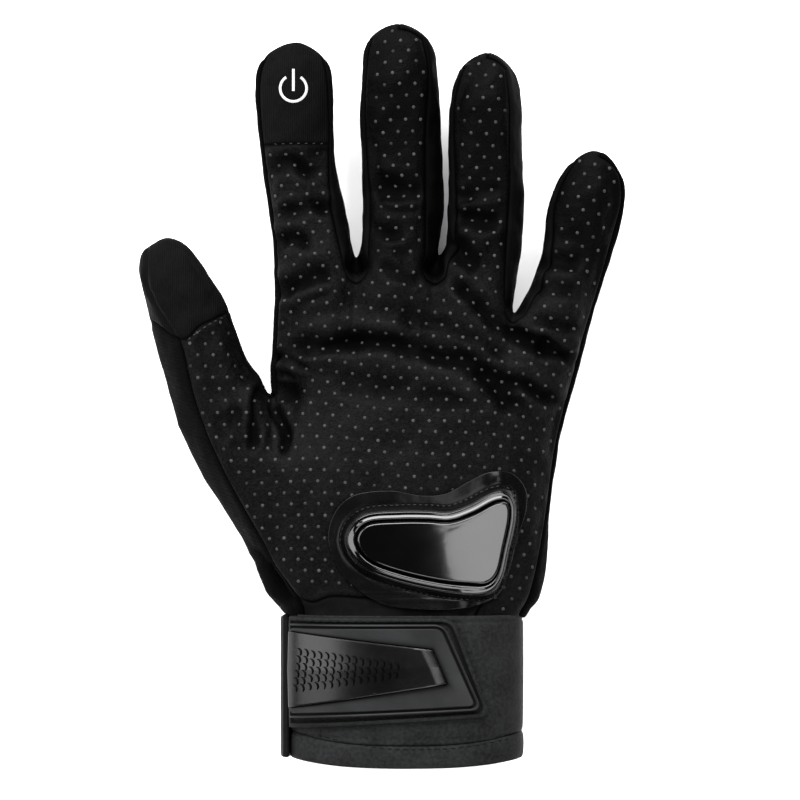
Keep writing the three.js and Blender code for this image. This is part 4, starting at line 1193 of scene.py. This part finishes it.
def layer_ring(layer, inset, right_inset=None):
    """A strap layer's outline moved in, its right end by its own distance where one is given.

    It runs clockwise from the top left, and its two right corners are rounded.
    """
    right_inset = inset if right_inset is None else right_inset
    left = cuff_point(np.array([math.radians(layer.from_angle)]), 0.0, 0.0)[0][0]
    corners = np.array([(left, layer.top_left), (layer.end_top_x, layer.top_right),
                        (layer.end_bottom_x, layer.bottom_right), (left, layer.bottom_left)])
    lines = []
    for n, distance in enumerate((inset, right_inset, inset, inset * 0.5)):
        along = corners[(n + 1) % 4] - corners[n]
        along /= np.linalg.norm(along)
        inward = np.array([along[1], -along[0]])
        lines.append((inward, inward @ corners[n] + distance))
    corners = [np.linalg.solve(np.array([lines[n - 1][0], lines[n][0]]), [lines[n - 1][1], lines[n][1]])
               for n in range(4)]
    corner = max(layer.corner - inset, 0.15)
    path = [mix(corners[0], corners[1], share) for share in np.linspace(0, 0.88, 60)]
    path += rounded(corners[0], corners[1], corners[2], corner)
    path += [mix(corners[1], corners[2], share) for share in np.linspace(0.3, 0.7, 24)]
    path += rounded(corners[1], corners[2], corners[3], corner)
    path += [mix(corners[2], corners[3], share) for share in np.linspace(0.12, 1, 60)]
    path += [mix(corners[3], corners[0], share) for share in np.linspace(0.04, 1, 24)]
    return np.array(path)


def rounded(before, at, after, size):
    """Nine places round a corner."""
    start = at + (before - at) / np.linalg.norm(before - at) * size
    end = at + (after - at) / np.linalg.norm(after - at) * size
    return [(1 - t) ** 2 * start + 2 * t * (1 - t) * at + t ** 2 * end for t in np.linspace(0, 1, 9)]


def wrapped_on_cuff(flat, height):
    """Lays flat places on the cuff's palm side at a height above it."""
    return cuff_point(cuff_angle_at(flat[:, 0]), height, flat[:, 1])


def middle_line(ring):
    """For each place of a ring, the nearest place of the line that its surface closes on."""
    reach = ring[:, 0].max() - ring[:, 0].min()
    x = np.clip(ring[:, 0], ring[:, 0].min() + 0.12 * reach, ring[:, 0].max() - 0.3 * reach)
    return np.column_stack([x, np.full(len(ring), (ring[:, 1].max() + ring[:, 1].min()) / 2)])


def wedge_rise(flat):
    """The wedge's height: it climbs to the right, is highest along its middle and falls off at its slanted end."""
    left = cuff_point(np.array([math.radians(WEDGE.from_angle)]), 0.0, 0.0)[0][0]
    along = np.clip((flat[:, 0] - left) / (WEDGE.end_bottom_x - left), 0, 1)
    top = mix(WEDGE.top_left, WEDGE.top_right, along)
    bottom = mix(WEDGE.bottom_left, WEDGE.bottom_right, along)
    across = np.abs(2 * (flat[:, 1] - bottom) / (top - bottom) - 1)
    start = np.array([WEDGE.end_top_x, WEDGE.top_right])
    end = np.array([WEDGE.end_bottom_x, WEDGE.bottom_right])
    run = (end - start) / np.linalg.norm(end - start)
    from_end = np.abs((flat - start) @ np.array([run[1], -run[0]]))
    ramp = 0.3 + 1.6 * along + 1.0 * (1 - across) * mix(0.3, 1.0, along)
    return ramp - 1.1 * np.clip(1 - from_end / WEDGE_RIDGE, 0, 1) ** 1.4


class GLOVE_OT_strap(bpy.types.Operator):
    """Builds the strap over the cuff, its rubber plate and the wedge on it"""
    bl_idname = "glove.strap"
    bl_label = "Strap"

    def execute(self, context):
        rings = [wrapped_on_cuff(layer_ring(STRAP, inset), STRAP_BASE + rise) for inset, rise, _ in STRAP_RISE]
        rings += self.closing(layer_ring(STRAP, STRAP_RISE[-1][0]), STRAP_BASE + STRAP_RISE[-1][1])
        # The strap's grooves carry painted shade.
        strap = self.slab("closure_strap_cloth", layer_ring(STRAP, 0.6), STRAP_BASE, rings, "cuff_neoprene",
                          "cuff_neoprene", "closure_strap", [hollow for _, _, hollow in STRAP_RISE])
        SURFACES["strap"] = surface_of([strap])
        rings = [wrapped_on_cuff(layer_ring(PLATE, inset), PLATE_BASE + rise) for inset, rise, _ in PLATE_RISE]
        top = PLATE_BASE + PLATE_RISE[-1][1]
        inner = layer_ring(PLATE, PLATE_RISE[-1][0])
        foot = layer_ring(WEDGE, 0.0)
        for share in (0.2, 0.4, 0.6, 0.8, 1.0):
            rings.append(wrapped_on_cuff(mix(inner, foot, share), top))
        for inset, rise in ((0.1, -0.4), (0.3, -0.5)):
            rings.append(wrapped_on_cuff(layer_ring(WEDGE, inset), top + rise))
        rings += self.closing(layer_ring(WEDGE, 0.3), top - 0.5)
        # The plate's grooves and the moat round the wedge's foot carry painted shade.
        self.slab("strap_plate_rubber", layer_ring(PLATE, 0.6), PLATE_BASE, rings, "strap_rubber",
                  "strap_rubber", "strap_plate", [hollow for _, _, hollow in PLATE_RISE] + [0, 0, 0, 0.3, 1, 1, 1])
        rings = [wrapped_on_cuff(layer_ring(WEDGE, 0.38), top - 0.45)]
        for inset in (0.42, 0.75):
            flat = layer_ring(WEDGE, inset)
            rings.append(wrapped_on_cuff(flat, top + wedge_rise(flat) - 0.25 * (0.75 - inset)))
        for right_inset in (1.3, 2.0, 2.7, 3.3, WEDGE_RIDGE, WEDGE_RIDGE + 0.2):
            flat = layer_ring(WEDGE, 0.9, right_inset)
            rings.append(wrapped_on_cuff(flat, top + wedge_rise(flat)))
        middle = middle_line(flat)
        for share in np.linspace(0.1, 1, 10):
            place = mix(flat, middle, share)
            rings.append(wrapped_on_cuff(place, top + wedge_rise(place)))
        wedge = self.slab("strap_wedge", layer_ring(WEDGE, 0.5), top - 0.45, rings, "strap_rubber",
                          "wedge_rubber", "strap_plate")
        SURFACES["wedge"] = surface_of([wedge])
        return {"FINISHED"}

    @staticmethod
    def closing(ring, height):
        """Rings from a strap layer's inner outline to its middle line."""
        middle = middle_line(ring)
        return [wrapped_on_cuff(mix(ring, middle, share), height) for share in np.linspace(0.1, 1, 10)]

    def slab(self, name, foot, lift, rings, slot, material, node, hollow=()):
        below = self.closing(foot, lift)[::-1]
        # The rings under a slab are painted fully shaded.
        hollow = [1] * len(below) + list(hollow) + [0] * (len(rings) - len(hollow))
        piece = make_sheet(name, np.array(below + rings), wrapped=True, hollow=hollow)
        activate(piece)
        bpy.ops.object.shade_smooth_by_angle(angle=math.radians(24))
        return finish_piece(piece, slot, MATERIALS[material], node)


# Slider

# Height over the palm by distance outside the plate: groove, rim, roll, stitched valley and flat band.
# On the left the rim climbs gently to a crest further out.
SLIDER_RISE = [(-2.0, 3.0), (0.3, 3.0), (0.5, 3.4), (0.75, 4.5), (1.0, 4.95), (1.3, 5.1), (1.7, 4.95), (2.2, 4.6),
               (2.6, 4.65), (3.2, 4.5), (3.8, 4.05), (4.4, 3.2), (4.9, 2.2), (5.3, 1.5), (5.6, 1.3), (6.0, 1.5),
               (7.0, 1.6), (14.0, 1.2)]
SLIDER_RISE_LEFT = [(-2.0, 3.0), (0.3, 3.0), (0.5, 3.8), (0.8, 4.15), (1.3, 4.38), (1.9, 4.58), (2.5, 4.78),
                    (3.1, 4.92), (3.6, 4.85), (4.1, 4.3), (4.7, 2.9), (5.2, 1.7), (5.6, 1.3), (6.0, 1.5), (7.0, 1.6),
                    (14.0, 1.2)]
SKIRT_BUMPS = [(37.6, -26.6, 3.2, 1.3), (25.5, -67.2, 4.0, 1.3)]
STITCHED_OUT = 5.6
RIM_OUT = 3.3
RIM_RIGHT = 0.52


def grown(outline, distance):
    """A closed clockwise outline moved out, less so on its right."""
    ring = outline[:-1]
    along = np.roll(ring, -1, axis=0) - np.roll(ring, 1, axis=0)
    along /= np.linalg.norm(along, axis=1)[:, None]
    outward = np.column_stack([-along[:, 1], along[:, 0]])
    reach = distance * mix(1, RIM_RIGHT, np.maximum(0, outward[:, 0]) ** 2)
    moved = ring + outward * reach[:, None]
    return np.vstack([moved, moved[:1]])


class GLOVE_OT_slider(bpy.types.Operator):
    """Builds the slider on the heel of the palm: skirt, rim and lid"""
    bl_idname = "glove.slider"
    bl_label = "Slider"

    def execute(self, context):
        count = 241
        skirt = curve_through(SKIRT_OUTLINE, count, closed=True)
        top = curve_through(PLATE_OUTLINE, count, closed=True)
        top = np.roll(top[:-1], -self.turn(top, skirt), axis=0)
        self.top = np.vstack([top, top[:1]])
        spots = np.concatenate([mix(self.top[::6], top.mean(axis=0), share) for share in (0, 0.3, 0.6)]
                               + [mix(skirt[::6], skirt.mean(axis=0), 0.1)])
        heights = np.array([drop(SURFACES["heel"], *spot)[0][2] for spot in spots])
        self.fit = np.linalg.lstsq(self.terms(spots), heights, rcond=None)[0]

        middle = self.top.mean(axis=0)
        rim = [self.placed(grown(self.top, distance)) for distance in np.linspace(-2.0, RIM_OUT, 30)]
        rim += [self.placed(grown(self.top, distance), -1.2) for distance in (RIM_OUT - 0.2, -1.8)]
        rim = make_sheet("slider_rim", np.array(rim + rim[:1]), wrapped=True)
        start = grown(self.top, RIM_OUT - 0.15)
        sheet = [self.placed(mix(start, skirt, share)) for share in np.linspace(0, 0.985, 30)]
        sheet += [self.placed(skirt, fixed=0.75), self.placed(skirt, fixed=0.1)]
        sheet += [self.placed(mix(skirt, start, 0.1), fixed=0.05), self.placed(mix(skirt, start, 0.9), fixed=0.5)]
        skirt = make_sheet("slider_skirt", np.array(sheet + sheet[:1]), wrapped=True)
        lid = [self.placed(mix(self.top, middle, share), fixed=3.1) for share in (1.0, 0.5)]
        lid += [self.placed(grown(self.top, -inset), fixed=height) for inset, height in (
            (0.25, 3.1), (0.1, 3.6), (0.1, 4.6), (0.25, 4.95), (0.6, 5.1), (1.0, 5.14))]
        last = grown(self.top, -1.0)
        for share in (0.1, 0.2, 0.35, 0.5, 0.65, 0.8, 0.9, 1.0):
            flat = mix(last, middle, share)
            off = (((flat - middle) / np.ptp(last, axis=0)) ** 2).sum(axis=1) * 4
            lid.append(self.placed(flat, fixed=5.14 + 0.2 * np.maximum(0, 1 - off) * smoothstep(0, 0.4, share)))
        lid = make_sheet("slider_lid", np.array(lid), wrapped=True)
        SURFACES["skirt"] = surface_of([skirt])
        SLIDER_LINES["stitched"] = grown(self.top, STITCHED_OUT)
        for piece, material, node in ((rim, "slider_gloss", "slider_base"), (skirt, "slider_satin", "slider_base"),
                                      (lid, "slider_gloss", "slider_plate")):
            smooth_levels(piece, 1)
            smooth_shade(piece)
            finish_piece(piece, "slider_gloss", MATERIALS[material], node)
        return {"FINISHED"}

    def placed(self, flat, lift=0.0, fixed=None):
        """Flat places raised over the palm by the slider's section, or by a fixed height."""
        distance, nearest = path_distance(flat, self.top)
        inside = self.inside(flat)
        step = np.clip((nearest * (len(self.top) - 1)).astype(int), 0, len(self.top) - 2)
        along = self.top[step + 1] - self.top[step]
        outward = -along[:, 1] / np.linalg.norm(along, axis=1)
        distance /= mix(1, RIM_RIGHT, np.maximum(0, outward) ** 2)
        distance[inside] *= -1
        rise = fixed
        if fixed is None:
            plain, left = (np.interp(distance, *np.array(table).T) for table in (SLIDER_RISE, SLIDER_RISE_LEFT))
            rise = mix(plain, left, smoothstep(-0.5, -0.95, outward))
        base = self.terms(flat) @ self.fit
        cloth = np.zeros(len(flat))
        around = [(0, 0)] + [(3.2 * math.cos(turn), 3.2 * math.sin(turn)) for turn in np.arange(8) * math.pi / 4]
        for dx, dy in around:
            hits = [drop(SURFACES["heel"], x + dx, y + dy)[0] for x, y in flat]
            cloth += np.array([base[n] if hit is None else hit[2] for n, hit in enumerate(hits)]) / len(around)
        if fixed is None:
            for x, y, radius, height in SKIRT_BUMPS:
                rise = rise + height * np.exp(-((flat[:, 0] - x) ** 2 + (flat[:, 1] - y) ** 2) / radius ** 2)
        return np.column_stack([flat, mix(base, cloth, smoothstep(3.0, 7.0, distance)) + rise + lift])

    def inside(self, flat):
        """Whether each place lies within the lid's outline."""
        within = np.zeros(len(flat), dtype=bool)
        for a, b in zip(self.top, self.top[1:]):
            if a[1] == b[1]:
                continue
            spans = (a[1] > flat[:, 1]) != (b[1] > flat[:, 1])
            within ^= spans & (flat[:, 0] < (b[0] - a[0]) * (flat[:, 1] - a[1]) / (b[1] - a[1]) + a[0])
        return within

    @staticmethod
    def turn(top, skirt):
        """How far to roll the top's points so that they start beside the skirt's."""
        centre = top[:-1].mean(axis=0)
        angles = np.arctan2(*(top[:-1] - centre).T[::-1])
        start = math.atan2(*(skirt[0] - centre)[::-1])
        return int(np.argmin(np.abs(np.angle(np.exp(1j * (angles - start))))))

    @staticmethod
    def terms(flat):
        x, y = flat[:, 0] / 30, (flat[:, 1] + 47) / 20
        return np.column_stack([np.ones(len(flat)), x, y, x * x, x * y, y * y])


SLIDER_LINES = {}


# Stitches, the tip's printed symbol and the wedge's scales

SYMBOL_CENTRE, SYMBOL_RADIUS = (-29.6, 101.3), 4.35
SYMBOL_LINE = (0.85, 0.12)
SCALE_COLUMNS, SCALE_PITCH, SCALE_SLANT = 15, 2.3, 0.32
Stitching = namedtuple("Stitching", "name surface path pitch length thickness material slot")
STITCHING = [
    Stitching("thumb_stitches", "skin", [(-64.4, 10.8), (-60.1, -1.3), (-55.8, -15.4), (-51.3, -22.3), (-45.4, -31.1),
                                         (-39.1, -42.6), (-33.9, -52.1), (-29.6, -59.0)],
              1.5, 0.9, 0.3, "thread", "back_knit"),
    Stitching("thumb_tip_stitches", "skin", [(-65.0, 17.8), (-58.3, 22.9), (-51.3, 26.8)],
              2.0, 1.1, 0.34, "thread_light", "touch_cloth"),
    Stitching("index_tip_stitches", "skin", [(-38.0, 83.2), (-17.9, 83.5)],
              2.6, 1.0, 0.3, "thread_light", "touch_cloth"),
    Stitching("strap_top_stitches", "strap", [(-27.0, -73.2), (20.0, -73.1)],
              2.8, 1.9, 0.45, "thread", "cuff_neoprene"),
    Stitching("strap_low_stitches", "strap", [(-27.0, -105.8), (28.0, -103.2)],
              3.0, 2.2, 0.6, "thread", "cuff_neoprene"),
    Stitching("hem_stitches", "cuff", [(-23.2, -109.9), (-11.8, -112.6), (1.9, -114.5), (22.7, -114.4),
                                       (43.0, -111.4)],
              2.6, 1.6, 0.34, "thread", "cuff_neoprene"),
]


def stitches(name, surface, path, pitch, length, thickness):
    """Threads laid end to end along a path on a surface."""
    size = np.linalg.norm(np.diff(path, axis=0), axis=1).sum()
    spots = evenly(path, max(2, round(size / pitch) + 1))
    places = []
    for before, spot, after in zip(spots, spots[1:], spots[2:]):
        at, normal = drop(surface, *spot)
        if at is not None and normal[2] > 0.2:
            places.append((axes_on(normal, np.array([*(after - before), 0.0])), at + normal * thickness * 0.15))
    return copies(name, capsule(length, thickness), places)


def ribbon(name, path, width, height, surface):
    """A low raised line along a path, laid on a surface."""
    section = [(-0.5, -0.15), (-0.5, 0.6), (-0.4, 1.0), (0.0, 1.05), (0.4, 1.0), (0.5, 0.6), (0.5, -0.15),
               (-0.5, -0.15)]
    along = np.gradient(path, axis=0)
    along /= np.linalg.norm(along, axis=1)[:, None]
    side = np.column_stack([along[:, 1], -along[:, 0]])
    rows = []
    for spot, way in zip(path, side):
        row = []
        for across, rise in section:
            x, y = spot + way * across * width
            row.append([x, y, drop(surface, x, y)[0][2] + rise * height])
        rows.append(row)
    piece = make_sheet(name, np.array(rows), wrapped=True, caps=(0, -1))
    activate(piece)
    bpy.ops.object.shade_smooth_by_angle(angle=math.radians(50))
    return piece


def scale(radius, thickness, height):
    """One scale of the wedge: a thin upright crescent that opens to its left."""
    turns = np.radians(np.linspace(-58, 58, 7))
    rows = []
    for n, turn in enumerate(turns):
        thick = thickness * math.sin(math.pi * (n + 0.6) / 7.2) ** 0.7
        way = np.array([math.cos(turn), math.sin(turn)])
        rows.append([[*(way * (radius + out * thick) - [radius, 0]), rise * height] for out, rise in (
            (-0.5, -0.4), (-0.35, 1.0), (0.35, 1.0), (0.5, -0.4), (-0.5, -0.4))])
    model = make_sheet("scale", np.array(rows) - SHIFT, wrapped=True, caps=(0, -1))
    set_raw_coords(model, raw_coords(model) / MM)
    return model


class GLOVE_OT_trims(bpy.types.Operator):
    """Builds the stitches, the printed symbol and the wedge's scales"""
    bl_idname = "glove.trims"
    bl_label = "Trims"

    def execute(self, context):
        for line in STITCHING:
            path = curve_through(line.path, 16 * len(line.path))
            piece = stitches(line.name, SURFACES[line.surface], path, line.pitch, line.length, line.thickness)
            finish_piece(piece, line.slot, MATERIALS[line.material])
        piece = stitches("slider_stitches", SURFACES["skirt"], SLIDER_LINES["stitched"], 1.9, 1.2, 0.4)
        finish_piece(piece, "slider_gloss", MATERIALS["thread"])
        self.symbol()
        self.scales()
        return {"FINISHED"}

    @staticmethod
    def symbol():
        centre = np.array(SYMBOL_CENTRE)
        turns = np.radians(90 - np.linspace(33, 327, 61))
        arc = centre + SYMBOL_RADIUS * np.column_stack([np.cos(turns), np.sin(turns)])
        ring = ribbon("tip_symbol_ring", arc, *SYMBOL_LINE, SURFACES["tip"])
        bar = np.column_stack([np.full(16, centre[0]), np.linspace(centre[1] - 0.9, centre[1] + 6.4, 16)])
        bar = ribbon("tip_symbol_bar", bar, *SYMBOL_LINE, SURFACES["tip"])
        for piece in (ring, bar):
            finish_piece(piece, "touch_cloth", MATERIALS["tip_print"])

    @staticmethod
    def scales():
        """Columns of slanted scales whose field narrows to the right."""
        places = []
        turn = np.array([math.cos(SCALE_SLANT), math.sin(SCALE_SLANT), 0.0])
        for column in range(SCALE_COLUMNS):
            x = -27.6 + SCALE_PITCH * column
            share = column / (SCALE_COLUMNS - 1)
            low, high = mix(-96.0, -91.2, share), mix(-81.6, -85.6, share)
            count = round(mix(6, 2, share))
            for n in range(count):
                y = mix(low, high, (n + 0.5) / count)
                at, normal = drop(SURFACES["wedge"], x + (y + 88.5) * 0.12, y)
                places.append((axes_on(normal, turn), at))
        piece = copies("wedge_scales", scale(1.5, 0.75, 0.36), places)
        finish_piece(piece, "strap_rubber", MATERIALS["scale_rubber"])


# The camera's height, and how wide its view is at the palm's distance, in metres
CAMERA_HEIGHT, FOCUS_DISTANCE, VIEW_WIDTH = 1.5, 1.482, 0.264
VIEW_MIDDLE = (5.4, -1.0)


class GLOVE_OT_stage(bpy.types.Operator):
    """Builds the floor, the lights and the camera"""
    bl_idname = "glove.stage"
    bl_label = "Stage"

    def execute(self, context):
        deselect()
        bpy.ops.mesh.primitive_plane_add(size=6, location=(0, 0, 0))
        floor = context.object
        floor.name = "floor"
        floor.data.materials.append(MATERIALS["pale_floor"])

        def softbox(name, at, size, power, target=(0, -0.02, 0)):
            light = bpy.data.lights.new(name, "AREA")
            light.shape = "RECTANGLE"
            light.size, light.size_y = size
            light.energy = power
            lamp = bpy.data.objects.new(name, light)
            context.collection.objects.link(lamp)
            lamp.location = at
            lamp.rotation_euler = (Vector(target) - Vector(at)).to_track_quat("-Z", "Y").to_euler()

        softbox("overhead_right", (0.83, 0.0, 1.72), (0.8, 1.4), 31, (0.83, 0.0, 0))
        softbox("left_box", (-1.5, 0.3, 1.2), (1.4, 1.8), 64)
        softbox("top_box", (-0.2, 1.9, 1.5), (2.6, 1.6), 265)
        softbox("low_box", (0.2, -1.9, 1.5), (2.2, 1.2), 70)
        world = bpy.data.worlds.new("studio")
        world.use_nodes = True
        sky = world.node_tree.nodes["Background"].inputs
        sky["Color"].default_value = (1, 1, 1, 1)
        sky["Strength"].default_value = 0.03
        context.scene.world = world
        context.scene.view_settings.view_transform = "Standard"

        data = bpy.data.cameras.new("camera")
        data.sensor_width = 36
        data.lens = data.sensor_width * FOCUS_DISTANCE / VIEW_WIDTH
        data.clip_end = 20
        camera = bpy.data.objects.new("camera", data)
        context.collection.objects.link(camera)
        camera.location = ((VIEW_MIDDLE[0] + SHIFT[0]) * MM, (VIEW_MIDDLE[1] + SHIFT[1]) * MM, CAMERA_HEIGHT)
        context.scene.camera = camera
        return {"FINISHED"}


class GLOVE_PT_panel(bpy.types.Panel):
    """Lists the glove's pieces in the sidebar"""
    bl_idname = "GLOVE_PT_panel"
    bl_label = "Glove"
    bl_space_type = "VIEW_3D"
    bl_region_type = "UI"
    bl_category = "Glove"

    def draw(self, context):
        for kind in OPERATORS:
            self.layout.operator(kind.bl_idname)
        for group in (context.scene.glove_sizes, context.scene.glove_colours):
            for key in group.__annotations__:
                self.layout.prop(group, key)


GROUPS = (GloveSizes, GloveColours)
OPERATORS = (GLOVE_OT_materials, GLOVE_OT_skin, GLOVE_OT_dots, GLOVE_OT_cuff, GLOVE_OT_strap, GLOVE_OT_slider,
             GLOVE_OT_trims, GLOVE_OT_stage)


def register():
    for kind in (*GROUPS, *OPERATORS, GLOVE_PT_panel):
        bpy.utils.register_class(kind)
    bpy.types.Scene.glove_sizes = PointerProperty(type=GloveSizes)
    bpy.types.Scene.glove_colours = PointerProperty(type=GloveColours)


def unregister():
    del bpy.types.Scene.glove_sizes
    del bpy.types.Scene.glove_colours
    for kind in (GLOVE_PT_panel, *reversed(OPERATORS), *reversed(GROUPS)):
        bpy.utils.unregister_class(kind)


def main():
    register()
    for kind in OPERATORS:
        group, name = kind.bl_idname.split(".")
        getattr(getattr(bpy.ops, group), name)()


if __name__ == "__main__":
    main()
